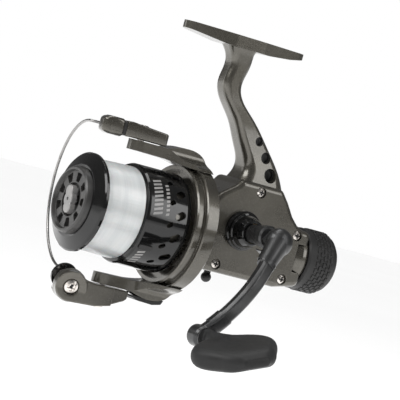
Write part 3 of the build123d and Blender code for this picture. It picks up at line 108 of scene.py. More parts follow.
# %% Set the camera
camera_x = Vector((-0.8191, 0.5119, 0.2588))
camera_y = Vector((0.2195, -0.1372, 0.9659))
camera_z = Vector((0.530, 0.848, 0.0))
looks_at = Vector((16.8, 26.0, -73.5)) * mm
camera_distance = 1276.6 * mm
camera_data = bpy.data.cameras.new("camera")
camera_data.lens = 270
camera_data.sensor_width = 36
camera_data.clip_start = 0.05
camera_data.clip_end = 60
camera = bpy.data.objects.new("camera", camera_data)
bpy.context.scene.collection.objects.link(camera)
turned = Matrix((camera_x, camera_y, camera_z)).transposed().to_4x4()
camera.matrix_world = Matrix.Translation(looks_at + camera_z * camera_distance) @ turned
bpy.context.scene.camera = camera
print("camera at, mm:", [round(v / mm) for v in camera.matrix_world.translation])

# %% [markdown]
# ## Adding nodes without repeating yourself
#
# Shader trees and geometry trees are both nodes joined by links. `Graph` has one method
# that adds any node: its settings are set first, since they can change which sockets it
# has, and then its sockets get numbers or links.
#
# `Val` wraps an output, so that `1 - mask * 0.4` adds the Math nodes that it spells.

# %% Node helpers
class Val:
    """An output socket that takes part in sums."""

    def __init__(self, graph, socket):
        self.graph = graph
        self.socket = socket

    def math(self, operation, *values, clamp=False):
        settings = {"operation": operation, "use_clamp": clamp}
        return self.graph.node("ShaderNodeMath", settings, dict(enumerate(values)))

    def __add__(self, other):
        return self.math("ADD", self, other)

    def __sub__(self, other):
        return self.math("SUBTRACT", self, other)

    def __rsub__(self, other):
        return self.math("SUBTRACT", other, self)

    def __mul__(self, other):
        return self.math("MULTIPLY", self, other)

    def __truediv__(self, other):
        return self.math("DIVIDE", self, other)

    def __pow__(self, other):
        return self.math("POWER", self, other)

    __radd__ = __add__
    __rmul__ = __mul__

    def above(self, edge, width):
        """0 below the edge, 1 once a width above it, with a straight ramp between."""
        return self.math("DIVIDE", self - edge, width, clamp=True)


class Graph:
    """Adds nodes to one tree."""

    def __init__(self, tree):
        self.tree = tree

    def node(self, kind, settings=None, sockets=None, out=0):
        made = self.tree.nodes.new(kind)
        for name, value in (settings or {}).items():
            if name == "stops":
                ramp = made.color_ramp
                while len(ramp.elements) < len(value):
                    ramp.elements.new(0.5)
                for element, (place, colour) in zip(ramp.elements, value):
                    element.position = place
                    element.color = (*colour, 1)
            else:
                setattr(made, name, value)
        for name, value in (sockets or {}).items():
            self.feed(made.inputs[name], value)
        return Val(self, made.outputs[out])

    def feed(self, socket, value):
        if isinstance(value, Val):
            self.tree.links.new(value.socket, socket)
        else:
            socket.default_value = value


print("node helpers ready")

# %% [markdown]
# ## What a finish is made of
#
# Every finish below starts from one Principled shader. Numbers that hold all over the
# surface are typed into its sockets. Only what changes from place to place is linked:
# colour, roughness, metal, coat and the tiny relief that breaks up a highlight.
#
# The patterns are read from Object coordinates. All pieces sit at the origin in metres,
# so a noise of scale 1000 has spots about a millimetre wide on any of them.

# %% The Finish class
class Finish(Graph):
    """One material: a Principled shader and the patterns that feed it."""

    def __init__(self, name, numbers):
        self.material = bpy.data.materials.new(name)
        self.material.use_nodes = True
        super().__init__(self.material.node_tree)
        self.shader = self.tree.nodes["Principled BSDF"]
        for socket, number in numbers.items():
            self.shader.inputs[socket].default_value = number

    def place(self, stretch=(1, 1, 1)):
        """Object coordinates, pulled out along an axis where its factor is small."""
        spot = self.node("ShaderNodeTexCoord", out=3)
        return self.node("ShaderNodeMapping", sockets={0: spot, "Scale": stretch})

    def noise(self, scale, detail=3.0, roughness=0.55, stretch=(1, 1, 1)):
        sockets = {"Vector": self.place(stretch), "Scale": scale, "Detail": detail}
        sockets["Roughness"] = roughness
        return self.node("ShaderNodeTexNoise", sockets=sockets)

    def grains(self, scale):
        """Small cells, each with a colour of its own."""
        sockets = {"Vector": self.place(), "Scale": scale}
        return self.node("ShaderNodeTexVoronoi", sockets=sockets, out=1)

    def mix(self, factor, first, second):
        """A colour between two, by a mask."""
        sockets = {0: factor, 6: first, 7: second}
        return self.node("ShaderNodeMix", {"data_type": "RGBA"}, sockets, out=2)

    def relief(self, height, distance, strength, normal=None):
        sockets = {"Height": height, "Distance": distance, "Strength": strength}
        if normal is not None:
            sockets["Normal"] = normal
        return self.node("ShaderNodeBump", sockets=sockets)

    def rounded(self, radius):
        """A normal that turns over sharp edges, as every moulded edge does."""
        return self.node("ShaderNodeBevel", {"samples": 4}, {"Radius": radius})

    def rubbed(self, rounded):
        """1 on the edges that handling wears, 0 on the faces between."""
        true = self.node("ShaderNodeNewGeometry", out=1)
        sockets = {0: rounded, 1: true}
        facing = self.node("ShaderNodeVectorMath", {"operation": "DOT_PRODUCT"}, sockets, out=1)
        return (1 - facing).above(0.03, 0.16)

    def worn(self, edges, scale, edge, width):
        """Rubbed edges, broken up by patches, since no edge wears evenly."""
        return self.rubbed(edges) * self.noise(scale, 4).above(edge, width)

    def done(self, **links):
        """Joins the patterns to the shader. Colour is Base Color, and so on."""
        names = {"colour": "Base Color", "roughness": "Roughness", "metal": "Metallic",
                 "coat": "Coat Weight", "normal": "Normal"}
        for name, value in links.items():
            self.feed(self.shader.inputs[names[name]], value)
        return self.material


def grey(value, warmth=0.0):
    """A colour near grey; a positive warmth leans to brown, a negative one to blue."""
    return (value * (1 + warmth), value, value * (1 - warmth), 1)


finishes = {}


def stock(slot, material):
    """Keeps a finish under the name of its slot in the record."""
    finishes[slot] = material
    print(slot, "nodes:", len(material.node_tree.nodes))


print("finish class ready")

# %% [markdown]
# ## Gunmetal lacquer
#
# The body, the rotor and the bail arms are moulded from filled nylon and sprayed with a
# grey-brown metallic lacquer. Up close the lacquer has fine bright flakes and a faint
# orange peel, and it is rubbed lighter along the edges that knock on stones. The coat of
# the shader is the clear top layer. The base below it is mostly metal, which is why the
# lacquer goes nearly black where it reflects nothing.

# %% Gunmetal lacquer
def gunmetal():
    finish = Finish("gunmetal_lacquer", {"Coat Roughness": 0.09, "Coat IOR": 1.5})
    tone = finish.noise(55, 4).above(0.3, 0.4)
    flake = finish.grains(5200)
    sparkle = finish.node("ShaderNodeSeparateColor", sockets={0: flake}).above(0.72, 0.3)
    edges = finish.rounded(0.35 * mm)
    wear = finish.worn(edges, 900, 0.42, 0.2)
    body = finish.mix(tone, (0.064, 0.059, 0.048, 1), (0.090, 0.084, 0.069, 1))
    body = finish.mix(sparkle * 0.3, body, grey(0.2, 0.06))
    body = finish.mix(wear * 0.7, body, grey(0.2, 0.05))
    marks = finish.noise(300, 5, 0.7, (1, 1, 5)).above(0.56, 0.12)
    peel = finish.relief(finish.noise(1500, 2), 0.02 * mm, 0.35, edges)
    return finish.done(colour=body, metal=0.78 + wear * 0.15, coat=0.7 - wear * 0.4,
                       roughness=0.25 + tone * 0.07 + marks * 0.08 + wear * 0.12,
                       normal=finish.relief(sparkle, 0.002 * mm, 0.2, peel))


stock("gunmetal_lacquer", gunmetal())

# %% [markdown]
# ## Black plastics
#
# The spool is polished black, so nearly all that is seen of it is reflection. What tells
# it from glass is the roughness: hairline scratches around the rim and a haze of
# fingerprints. The drag knob and the small levers are moulded with a fine texture,
# like very fine sandpaper, which scatters the light to a soft grey.

# %% Polished black and textured black
def polished_black():
    finish = Finish("gloss_black", {"Coat Roughness": 0.04, "IOR": 1.4, "Coat IOR": 1.4})
    haze = finish.noise(70, 5, 0.6).above(0.45, 0.3)
    hairs = finish.noise(260, 6, 0.75, (14, 1, 1)).above(0.6, 0.06)
    edges = finish.rounded(0.3 * mm)
    wear = finish.worn(edges, 1100, 0.5, 0.2)
    colour = finish.mix(haze, grey(0.004, -0.02), grey(0.007, 0.03))
    colour = finish.mix(wear * 0.5, colour, grey(0.09, 0.02))
    return finish.done(colour=colour, coat=0.3 - haze * 0.15,
                       roughness=0.07 + haze * 0.07 + hairs * 0.12 + wear * 0.2,
                       normal=finish.relief(finish.noise(420, 2), 0.02 * mm, 0.18, edges))


def cap_satin():
    finish = Finish("cap_satin", {"IOR": 1.5, "Coat Roughness": 0.25})
    tone = finish.noise(160, 4).above(0.38, 0.25)
    grain = finish.noise(2800, 3)
    edges = finish.rounded(0.25 * mm)
    wear = finish.worn(edges, 900, 0.42, 0.2)
    colour = finish.mix(tone, grey(0.03, 0.02), grey(0.042, 0.04))
    colour = finish.mix(wear * 0.6, colour, grey(0.14, 0.03))
    return finish.done(colour=colour, metal=0.3 + tone * 0.1, coat=0.2 + tone * 0.1,
                       roughness=0.36 + grain * 0.1,
                       normal=finish.relief(grain, 0.02 * mm, 0.25, edges))


def textured_black():
    finish = Finish("matte_black", {"IOR": 1.47})
    tone = finish.noise(90, 4).above(0.35, 0.3)
    pits = finish.noise(2600, 3, 0.6)
    edges = finish.rounded(0.3 * mm)
    wear = finish.worn(edges, 800, 0.4, 0.25)
    colour = finish.mix(tone, grey(0.0056, 0.01), grey(0.00875, 0.03))
    colour = finish.mix(wear * 0.6, colour, grey(0.0224, 0.02))
    return finish.done(colour=colour, roughness=0.46 + pits * 0.12 - wear * 0.1,
                       normal=finish.relief(pits, 0.05 * mm, 0.4, edges))


stock("gloss_black", polished_black())
stock("matte_black", textured_black())

# %% [markdown]
# ## Grey plastic, soft-touch rubber and anodised alloy
#
# The button in the spool's cap is satin grey. The handle's knob is dipped in a soft-touch
# paint, which is dull, catches lint and shines where thumb and finger hold it. The
# handle's arm is an alloy bar, anodised dark grey after brushing, so its highlights are
# drawn out along it.

# %% Grey plastic, soft touch and anodised alloy
def satin_grey():
    finish = Finish("grey_plastic", {"IOR": 1.5})
    tone = finish.noise(240, 4).above(0.35, 0.3)
    grain = finish.noise(3000, 3)
    edges = finish.rounded(0.2 * mm)
    wear = finish.rubbed(edges)
    colour = finish.mix(tone, grey(0.2, 0.01), grey(0.26, 0.03))
    colour = finish.mix(wear * 0.4, colour, grey(0.42, 0.01))
    return finish.done(colour=colour, metal=0.25 + tone * 0.1,
                       roughness=0.34 + grain * 0.12,
                       normal=finish.relief(grain, 0.03 * mm, 0.25, edges))


def soft_touch():
    finish = Finish("soft_touch", {"Sheen Weight": 0.02, "Sheen Roughness": 0.4, "IOR": 1.32})
    held = finish.noise(75, 3).above(0.42, 0.22)
    lint = finish.noise(1900, 2, 0.5, (1, 3.5, 1)).above(0.73, 0.05)
    grain = finish.noise(4200, 2)
    colour = finish.mix(held, grey(0.016, -0.01), grey(0.012, 0.01))
    colour = finish.mix(lint * 0.25, colour, grey(0.08, 0.0))
    return finish.done(colour=colour, roughness=0.48 - held * 0.13 + grain * 0.1,
                       normal=finish.relief(grain + held * 0.6, 0.03 * mm, 0.35))


def anodised():
    finish = Finish("dark_alloy", {"Anisotropic": 0.35, "Coat Roughness": 0.2})
    tone = finish.noise(120, 4).above(0.35, 0.3)
    brushed = finish.noise(900, 5, 0.65, (0.12, 1, 0.12))
    edges = finish.rounded(0.25 * mm)
    wear = finish.worn(edges, 1300, 0.42, 0.2)
    colour = finish.mix(tone, grey(0.04, -0.02), grey(0.055, 0.0))
    colour = finish.mix(brushed.above(0.5, 0.3) * 0.3, colour, grey(0.08, -0.01))
    colour = finish.mix(wear * 0.6, colour, grey(0.2, 0.0))
    return finish.done(colour=colour, metal=0.8 + wear * 0.2, coat=0.2 + tone * 0.1,
                       roughness=0.3 + brushed * 0.16,
                       normal=finish.relief(brushed, 0.01 * mm, 0.3, edges))


stock("grey_plastic", satin_grey())
stock("soft_touch", soft_touch())
stock("dark_alloy", anodised())

# %% [markdown]
# ## Bare metals
#
# Screws are nickel-plated, shafts are drawn steel, the pinion is brass and the drive gear
# is die-cast zinc. They differ in colour, in how the tool left the surface, and in where
# dirt stays. One function with a few numbers makes all four, and the bail's wire too.

# %% Bare metals
def metal(name, colour, dark, rough, grain, stretch, pit=0.01):
    finish = Finish(name, {"Anisotropic": 0.2})
    streak = finish.noise(grain, 5, 0.65, stretch)
    stain = finish.noise(380, 4).above(0.5, 0.25)
    shade = finish.mix(stain * 0.55, colour, dark)
    edges = finish.rounded(0.12 * mm)
    return finish.done(colour=shade, metal=1.0 - stain * 0.12,
                       roughness=rough + streak * 0.14 + stain * 0.16,
                       normal=finish.relief(streak, pit * mm, 0.35, edges))


stock("zinc", metal("zinc", grey(0.42, -0.02), grey(0.2, 0.0), 0.4, 1400, (1, 1, 1), 0.03))
stock("brass", metal("brass", (0.72, 0.5, 0.2, 1), (0.35, 0.22, 0.08, 1), 0.24, 1200, (1, 6, 6)))
stock("steel", metal("steel", grey(0.55, 0.0), grey(0.3, 0.03), 0.22, 1500, (0.1, 1, 1)))
stock("nickel", metal("nickel", grey(0.66, 0.06), grey(0.25, 0.14), 0.17, 900, (1, 1, 1)))

# %% [markdown]
# ## Plastics inside the case
#
# Nobody sees the washers and the bushes unless the case is opened, but they are there:
# greased fibre washers in the drag and pale acetal bushes for the crank.

# %% Fibre and acetal
def greased_fibre():
    finish = Finish("fibre", {"IOR": 1.5})
    weave = finish.noise(2100, 4, 0.7, (1, 3, 1))
    grease = finish.noise(260, 3).above(0.48, 0.2)
    colour = finish.mix(weave, grey(0.07, 0.18), grey(0.15, 0.22))
    return finish.done(colour=colour, roughness=0.7 - grease * 0.42,
                       normal=finish.relief(weave, 0.04 * mm, 0.5))


def acetal():
    finish = Finish("acetal", {"Subsurface Weight": 0.1, "Subsurface Scale": 0.001})
    tone = finish.noise(200, 3)
    colour = finish.mix(tone, (0.78, 0.76, 0.7, 1), (0.86, 0.85, 0.81, 1))
    return finish.done(colour=colour, roughness=0.36 + tone * 0.15,
                       normal=finish.relief(finish.noise(1500, 2), 0.02 * mm, 0.3))


stock("fibre", greased_fibre())
stock("acetal", acetal())

# %% [markdown]
# ## Fishing line
#
# New nylon line is clear, but a full spool of it looks silky white, because each turn
# sends light sideways through its neighbours. The base is nearly white with faint blue
# shading, gloss comes from a thin coat, and the turns themselves are modelled further on.

# %% Fishing line
def nylon():
    finish = Finish("line", {"IOR": 1.53, "Coat Roughness": 0.12, "Subsurface Weight": 0.1,
                             "Subsurface Scale": 0.0006})
    bands = finish.noise(330, 3, 0.6, (1, 0.05, 0.05)).above(0.3, 0.5)
    fine = finish.noise(5200, 2, 0.5, (1, 0.02, 0.02))
    colour = finish.mix(bands, (0.46, 0.47, 0.475, 1), (0.55, 0.555, 0.55, 1))
    colour = finish.mix(fine.above(0.5, 0.2) * 0.2, colour, (0.71, 0.715, 0.715, 1))
    return finish.done(colour=colour, coat=0.3 + bands * 0.1, metal=0.3 + fine * 0.1,
                       roughness=0.26 + fine * 0.12,
                       normal=finish.relief(fine, 0.02 * mm, 0.4))


stock("line", nylon())
print("finishes:", len(finishes))

# %% [markdown]
# ## Dressing the solids
#
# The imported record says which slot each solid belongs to. The loop gives every solid the
# finish of its slot, and would stop with an error if a slot had no finish. Two solids look
# a little different from the rest of their slot, and have a finish of their own.

# %% Give each solid its finish
own_finish = {
    "spool_cap": cap_satin(),
    "bail_wire": metal("drawn_wire", grey(0.30, 0.02), grey(0.16, 0.06), 0.2, 1600, (1, 1, 0.1)),
}
slot_of = {part["node"]: part["material_slot"] for part in frame["record"]["subparts"]}
for name, solid in nodes.items():
    solid.data.materials.clear()
    solid.data.materials.append(own_finish.get(name, finishes[slot_of[name]]))
print("dressed:", len(nodes), "solids")

# %% [markdown]
# ## From a mesh to a piece of the reel
#
# A new piece always takes the same steps. A net of points and faces is turned into a mesh,
# the mesh gets an object, modifiers that only shape it are baked in, and then the piece
# gets its finish and is tied to the body that it moves with. Each step is a short helper,
# so that a piece further on shows only what is its own.

# %% Helpers for pieces
def mesh_from(net, name):
    """Turns a bmesh into a smooth-shaded mesh and lets go of it."""
    mesh = bpy.data.meshes.new(name)
    net.to_mesh(mesh)
    net.free()
    for face in mesh.polygons:
        face.use_smooth = True
    return mesh


def shown(mesh):
    """An object for a mesh, under the same name."""
    piece = bpy.data.objects.new(mesh.name, mesh)
    bpy.context.scene.collection.objects.link(piece)
    return piece


def baked(piece):
    """Swaps a piece's live modifiers for the plain mesh that they make."""
    bpy.context.view_layer.update()
    seen = piece.evaluated_get(bpy.context.evaluated_depsgraph_get())
    result = bpy.data.meshes.new_from_object(seen)
    piece.modifiers.clear()
    piece.data = result
    return piece


def tied(piece, body, slot):
    """Gives a piece the finish of a slot if it has none, and ties it to a body."""
    if not piece.data.materials:
        piece.data.materials.append(finishes[slot])
    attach(piece, body)
    print(piece.name, "faces:", len(piece.data.polygons))
    return piece


# %% [markdown]
# ## Geometry Nodes: one pattern, wrapped round a shaft
#
# Grip blocks, ribs and printed bars are all rows and columns of one small shape, bent
# round a cylinder. The tree lays them out flat first: X is the way along the shaft and Y
# the way round it, as an unrolled label. Then one step rolls the label up.
#
# A tree like this is worth building once, because a different set of numbers gives a
# different part of the reel.

# %% A recipe for wrapped patterns
def recipe(name, names, starts_from=None):
    """A new tree with named numbers, a finish and, if it starts from one, a mesh."""
    tree = bpy.data.node_groups.new(name, "GeometryNodeTree")
    kinds = {starts_from: "Geometry"} if starts_from else {}
    kinds.update({number: "Float" for number in names})
    kinds["Finish"] = "Material"
    found = {}
    for socket_name, kind in kinds.items():
        socket = tree.interface.new_socket(name=socket_name, in_out="INPUT",
                                           socket_type="NodeSocket" + kind)
        found[socket_name] = socket.identifier
    tree.interface.new_socket(name="Mesh", in_out="OUTPUT", socket_type="NodeSocketGeometry")
    graph = Graph(tree)
    entry = tree.nodes.new("NodeGroupInput")
    given = {socket_name: Val(graph, entry.outputs[socket_name]) for socket_name in kinds}
    return graph, given, found


def ends(graph, given, mesh):
    """Realize Instances, Set Material and the output."""
    real = graph.node("GeometryNodeRealizeInstances", sockets={0: mesh})
    dressed = graph.node("GeometryNodeSetMaterial",
                         sockets={"Geometry": real, "Material": given["Finish"]})
    out = graph.tree.nodes.new("NodeGroupOutput")
    graph.tree.links.new(dressed.socket, out.inputs[0])


def vector(graph, x, y, z):
    """A vector from three numbers or values."""
    return graph.node("ShaderNodeCombineXYZ", sockets={0: x, 1: y, 2: z})


def parts_of(graph, value):
    """The x, y and z of a vector."""
    split = graph.node("ShaderNodeSeparateXYZ", sockets={0: value})
    return [Val(graph, socket) for socket in split.socket.node.outputs]


wrap_names = ["Along", "Around", "Pitch Along", "Pitch Around", "Stagger", "Slant", "Start",
              "Turn", "Radius", "Axis Height", "Length", "Width", "Height", "Taper"]
wrap, given, wrap_inputs = recipe("wrapped_pattern", wrap_names)
index = wrap.node("GeometryNodeInputIndex")
hair = 0.0001                           # keeps a whole number of rows from rounding down
rows_done = index / given["Around"] + hair
row = rows_done.math("FLOOR", rows_done)
column = index - row * given["Around"]
shift = given["Stagger"] * row.math("MODULO", row, 2.0)
flat = vector(wrap, (row + 0.5) * given["Pitch Along"],
              (column + shift) * given["Pitch Around"], 0.0)
count = given["Along"] * given["Around"]
points = wrap.node("GeometryNodePoints", sockets={"Count": count, "Position": flat})
block = wrap.node("GeometryNodeMeshCube", sockets={
    "Size": (1.0, 1.0, 1.0), "Vertices X": 3, "Vertices Y": 4, "Vertices Z": 2})
place = wrap.node("GeometryNodeInputPosition")
bx, by, bz = parts_of(wrap, place)
shrink = 1 - (bz + 0.5) * given["Taper"]
block = wrap.node("GeometryNodeSetPosition", sockets={
    "Geometry": block,
    "Position": vector(wrap, bx * given["Length"] * shrink, by * given["Width"] * shrink,
                       (bz + 0.5) * given["Height"])})
laid = wrap.node("GeometryNodeInstanceOnPoints", sockets={"Points": points, "Instance": block})
laid = wrap.node("GeometryNodeRealizeInstances", sockets={0: laid})
fx, fy, fz = parts_of(wrap, place)
angle = (fy + fx * given["Slant"]) / given["Radius"] + given["Turn"]
reach = given["Radius"] + fz
rolled = vector(wrap, given["Start"] + fx, reach * angle.math("SINE", angle),
                given["Axis Height"] + reach * angle.math("COSINE", angle))
laid = wrap.node("GeometryNodeSetPosition", sockets={"Geometry": laid, "Position": rolled})
ends(wrap, given, laid)
print("wrapped pattern: nodes", len(wrap.tree.nodes))

# %% [markdown]
# The modifier that runs a tree is only a step on the way. Its inputs are set by their
# identifiers, the result is read back as a plain mesh, and the modifier goes, so that
# what is left is ordinary geometry that any program can open.

# %% Run a recipe
def make(name, graph, inputs, values, slot, body, places=()):
    """Runs a recipe with some numbers, from points at the places if it starts from them."""
    mesh = bpy.data.meshes.new(name)
    mesh.from_pydata([tuple(place) for place in places], [], [])
    piece = shown(mesh)
    modifier = piece.modifiers.new("recipe", "NODES")
    modifier.node_group = graph.tree
    for socket, value in values.items():
        modifier[inputs[socket]] = value
    modifier[inputs["Finish"]] = finishes[slot]
    return tied(baked(piece), body, slot)


print("recipes run by make()")

# %% [markdown]
# ## Softened skins
#
# Moulded and cast pieces have no sharp corners: the tool that cut the mould was round,
# and lacquer pools over what is left. A solid model keeps its corners because machines
# measure from them. Here some solids are replaced by a skin: a copy is rebuilt as an even
# net of small squares, and the net is then relaxed, which rounds every corner a little.

# %% Relax a copy of a solid
weld = 0.002 * mm                       # corners closer than this are one corner


def copy_of(name):
    """A bmesh from the mesh of a solid, with its loose triangles welded."""
    net = bmesh.new()
    net.from_mesh(nodes[name].data)
    bmesh.ops.remove_doubles(net, verts=net.verts, dist=weld)
    return net


def relaxed(name, net, voxel, rounds, body, slot):
    """Turns a bmesh into an even, relaxed skin."""
    piece = shown(mesh_from(net, name))
    even = piece.modifiers.new("even", "REMESH")
    even.mode = "VOXEL"
    even.voxel_size = voxel
    relax = piece.modifiers.new("relax", "SMOOTH")
    relax.factor = 0.5
    relax.iterations = rounds
    skin = baked(piece).data
    for face in skin.polygons:
        face.use_smooth = True
    return tied(piece, body, slot)


print("skins made by relaxed()")

# %% [markdown]
# ## The handle's arm and its elbow
#
# The crank's arm folds at an elbow. On the real reel the elbow is a smooth ball, with a
# sleeve that grips the bar, and there is a shorter sleeve where the bar meets the knob's
# seat. The fork of the solid is left out of the copy by a cut across the arm, and a ball
# and a tapered sleeve are put in its place before the skin is relaxed.

# %% The elbow's frame
pin_low, pin_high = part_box("fold_pin")
pin = (pin_low + pin_high) / 2
fall = radians(58.8)                    # how steeply the arm goes down
down_arm = Vector((cos(fall), 0, -sin(fall)))
across_arm = Vector((sin(fall), 0, cos(fall)))
outward = Vector((0, 1, 0))


def on_arm(along, out, across=0.0):
    """A point from the fold pin: along the arm, outwards and across, in millimetres."""
    return pin + (down_arm * along + outward * out + across_arm * across) * mm


def turned_to(direction):
    """The turn that lays a shape's own Z along a direction."""
    return direction.to_track_quat("Z", "Y").to_matrix().to_4x4()


print("fold pin, mm:", [round(v / mm, 1) for v in pin])

# %% The arm's skin
fork_end = 9.0                          # the fork is cut away up to here, along the arm
ball_r = 6.3 * mm
sleeve_r = (5.5 * mm, 4.1 * mm)
arm_voxel = 0.26 * mm
arm_net = copy_of("handle_arm")
cut = bmesh.ops.bisect_plane(arm_net, geom=[*arm_net.verts, *arm_net.edges, *arm_net.faces],
                             plane_co=on_arm(fork_end, 0), plane_no=down_arm, clear_inner=True)
rim = [edge for edge in cut["geom_cut"] if isinstance(edge, bmesh.types.BMEdge)]
bmesh.ops.holes_fill(arm_net, edges=rim)
squat = Matrix.Diagonal((1, 1, 0.86, 1))
ball = Matrix.Translation(on_arm(0.9, 0.4)) @ turned_to(outward) @ squat
bmesh.ops.create_uvsphere(arm_net, u_segments=32, v_segments=20, radius=ball_r, matrix=ball)
sleeve_from = on_arm(1.0, 0.6)
sleeve_to = on_arm(14.0, 4.8)
sleeve_way = sleeve_to - sleeve_from
flat = Matrix.Diagonal((0.92, 1.08, 1, 1))
sleeve = Matrix.Translation((sleeve_from + sleeve_to) / 2) @ turned_to(sleeve_way) @ flat
bmesh.ops.create_cone(arm_net, cap_ends=True, segments=32, radius1=sleeve_r[0],
                      radius2=sleeve_r[1], depth=sleeve_way.length, matrix=sleeve)
arm_skin = relaxed("handle_arm_skin", arm_net, arm_voxel, 5, "handle", "dark_alloy")
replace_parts(arm_skin, "handle_arm")

# %% [markdown]
# The lower sleeve, and the lip of the upper one, are slices of the skin itself, pushed
# outwards by less than half a millimetre. Solidify gives them their wall, so that they hug
# the bar whatever its shape.

# %% The sleeve at each end of the arm
def sleeve_between(name, first, last, wall):
    """The slice of the arm's skin between two places along the arm, with a wall."""
    net = bmesh.new()
    net.from_mesh(arm_skin.data)
    for spot, way in ((first, down_arm), (last, -down_arm)):
        bmesh.ops.bisect_plane(net, geom=[*net.verts, *net.edges, *net.faces],
                               plane_co=on_arm(spot, 0), plane_no=way, clear_inner=True)
    piece = shown(mesh_from(net, name))
    walls = piece.modifiers.new("wall", "SOLIDIFY")
    walls.thickness = wall
    walls.offset = 1
    return tied(piece, "handle", "dark_alloy")


sleeve_between("arm_lower_sleeve", 43.0, 49.0, 0.45 * mm)
sleeve_between("arm_upper_sleeve_lip", 11.0, 13.2, 0.3 * mm)

# %% [markdown]
# ## The knob and the roller's lever
#
# The same relaxing suits the pieces that hands and line run over: the handle's knob, and
# the lower lever of the bail, which carries the line roller.

# %% Skins of the knob and the roller's lever
for name, voxel, rounds, slot, body in (
        ("handle_knob", 0.5 * mm, 14, "soft_touch", "knob"),
        ("roller_lever", 0.22 * mm, 9, "gunmetal_lacquer", "bail")):
    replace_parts(relaxed(name + "_skin", copy_of(name), voxel, rounds, body, slot), name)

# %% [markdown]
# ## The spring under the button
#
# The spool comes off when its button is pressed, and a small spring brings the button
# back. A pressed spring gets shorter, which a rigid solid can't show. A copy of the
# spring, with a mesh of its own, stands for it here.

# %% A copy of the spring
spring_coil = shown(mesh_from(copy_of("button_spring"), "button_spring_coil"))
tied(spring_coil, "spool", "steel")
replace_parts(spring_coil, "button_spring")
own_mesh(spring_coil)

# %% [markdown]
# ## The bail's upper lever
#
# The upper lever is two moulded lumps: a plump nose that grips the wire, and a wedge
# behind it that turns on the arm. A narrow step parts them, black as painted shade in the
# groove, and the nose has a shallow raised pad on each cheek. Each lump is a block whose
# edges are bevelled in five steps.

# %% A rounded block between stations
pivot_low, pivot_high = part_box("bail_pivot_screws")
pivot = Vector(((pivot_low.x + pivot_high.x) / 2, (pivot_low.y + pivot_high.y) / 2, axis_z))
toe = radians(10)                       # the bail points a little away from the handle
forwards = Vector((cos(toe), -sin(toe), 0))
sideways = Vector((sin(toe), cos(toe), 0))


def on_bail(along, side, height):
    """A point from the bail's axis in millimetres: forwards, towards the handle, and up."""
    return pivot + (forwards * along + sideways * side + Vector((0, 0, height))) * mm


def rounded_block(name, stations, bevel, slot="gunmetal_lacquer"):
    """A lofted block: each station is (along, half width, bottom, top) in millimetres."""
    net = bmesh.new()
    rings = []
    for along, half_width, bottom, top in stations:
        corners = [(-half_width, bottom), (half_width, bottom), (half_width, top),
                   (-half_width, top)]
        rings.append([net.verts.new(on_bail(along, side, height)) for side, height in corners])
    for one, two in zip(rings, rings[1:]):
        for i in range(4):
            net.faces.new([one[i], one[(i + 1) % 4], two[(i + 1) % 4], two[i]])
    net.faces.new(rings[0][::-1])
    net.faces.new(rings[-1])
    bmesh.ops.recalc_face_normals(net, faces=net.faces)
    piece = shown(mesh_from(net, name))
    round_off = piece.modifiers.new("round", "BEVEL")
    round_off.width = bevel * mm
    round_off.segments = 5
    round_off.limit_method = "ANGLE"
    round_off.angle_limit = radians(25)
    return tied(piece, "bail", slot)


holder_low, holder_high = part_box("bail_holder")
base = (holder_low.z - axis_z) / mm
crown = (holder_high.z - axis_z) / mm
print("upper lever from, to, mm over the shaft:", round(base, 1), round(crown, 1))

# %% The two lumps and the pads
wedge = rounded_block("bail_lever_wedge", [
    (-11.0, 3.4, base + 1.0, crown - 1.9), (-9.8, 4.3, base + 1.0, crown - 1.6),
    (2.0, 4.4, base + 1.0, crown - 0.7), (6.4, 4.4, base + 1.0, crown - 0.3),
    (8.9, 4.1, base + 0.7, crown - 0.5)], 0.8)
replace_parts(wedge, "bail_holder")
# The step is matte black: painted shade in the groove between the lumps.
rounded_block("bail_lever_shade_neck", [
    (6.0, 3.6, base + 1.2, crown - 1.2), (11.5, 3.6, base + 1.0, crown - 1.2)],
    0.5, "matte_black")
rounded_block("bail_lever_nose", [
    (9.5, 3.7, base + 0.5, crown - 0.6), (11.0, 4.2, base + 0.05, crown - 0.1),
    (16.6, 4.2, base + 0.05, crown - 0.1), (19.6, 3.1, base + 0.8, crown - 1.2)],
    1.9)
cheek = 4.1                             # from the middle of the nose to a pad, in mm
for side in (1, -1):
    pad = rounded_block(f"bail_nose_pad_{'near' if side > 0 else 'far'}", [
        (11.8, 0.35, base + 2.1, crown - 2.0), (16.4, 0.35, base + 2.3, crown - 2.2)], 0.3)
    pad.data.transform(Matrix.Translation(sideways * side * cheek * mm))

# %% [markdown]
# ## Cups in the stem
#
# Three round cups in the stem save weight where the wall would be thick. A liner of black
# plastic lies in each one: painted shade, as dark as a deep hole in shadow.

# %% Painted-shade liners for the cups
cup_places = (                          # (x, height over the shaft, radius) in mm
    (-17.9, 45.2, 2.05), (-23.0, 39.0, 2.55), (-26.6, 31.9, 3.15))
cup_floor = 3.2                         # from the middle of the stem to the floors, in mm


def painted_shade_liner(name, x, height, radius, side):
    """A shallow turned cup of painted shade: floor, rounded corner and wall."""
    profile = [(0.0, 0.12), (0.55, 0.1), (0.8, 0.16), (0.94, 0.5), (0.985, 1.2), (0.985, 1.9),
               (0.9, 1.9), (0.9, 1.2), (0.86, 0.6), (0.75, 0.32), (0.5, 0.25), (0.0, 0.26)]
    net = bmesh.new()
    centre = Vector((x * mm, side * cup_floor * mm, axis_z + height * mm))
    steps = 32
    rings = []
    for share, lift in profile:
        ring = []
        for i in range(steps if share else 1):
            turn = 2 * pi * i / steps
            ring.append(net.verts.new(centre + Vector((
                radius * share * cos(turn), side * lift, radius * share * sin(turn))) * mm))
        rings.append(ring)
    for one, two in zip(rings, rings[1:]):
        for i in range(steps):
            corners = [one[i % len(one)], one[(i + 1) % len(one)],
                       two[(i + 1) % len(two)], two[i % len(two)]]
            net.faces.new(list(dict.fromkeys(corners)))
    bmesh.ops.recalc_face_normals(net, faces=net.faces)
    return tied(shown(mesh_from(net, name)), "housing", "matte_black")


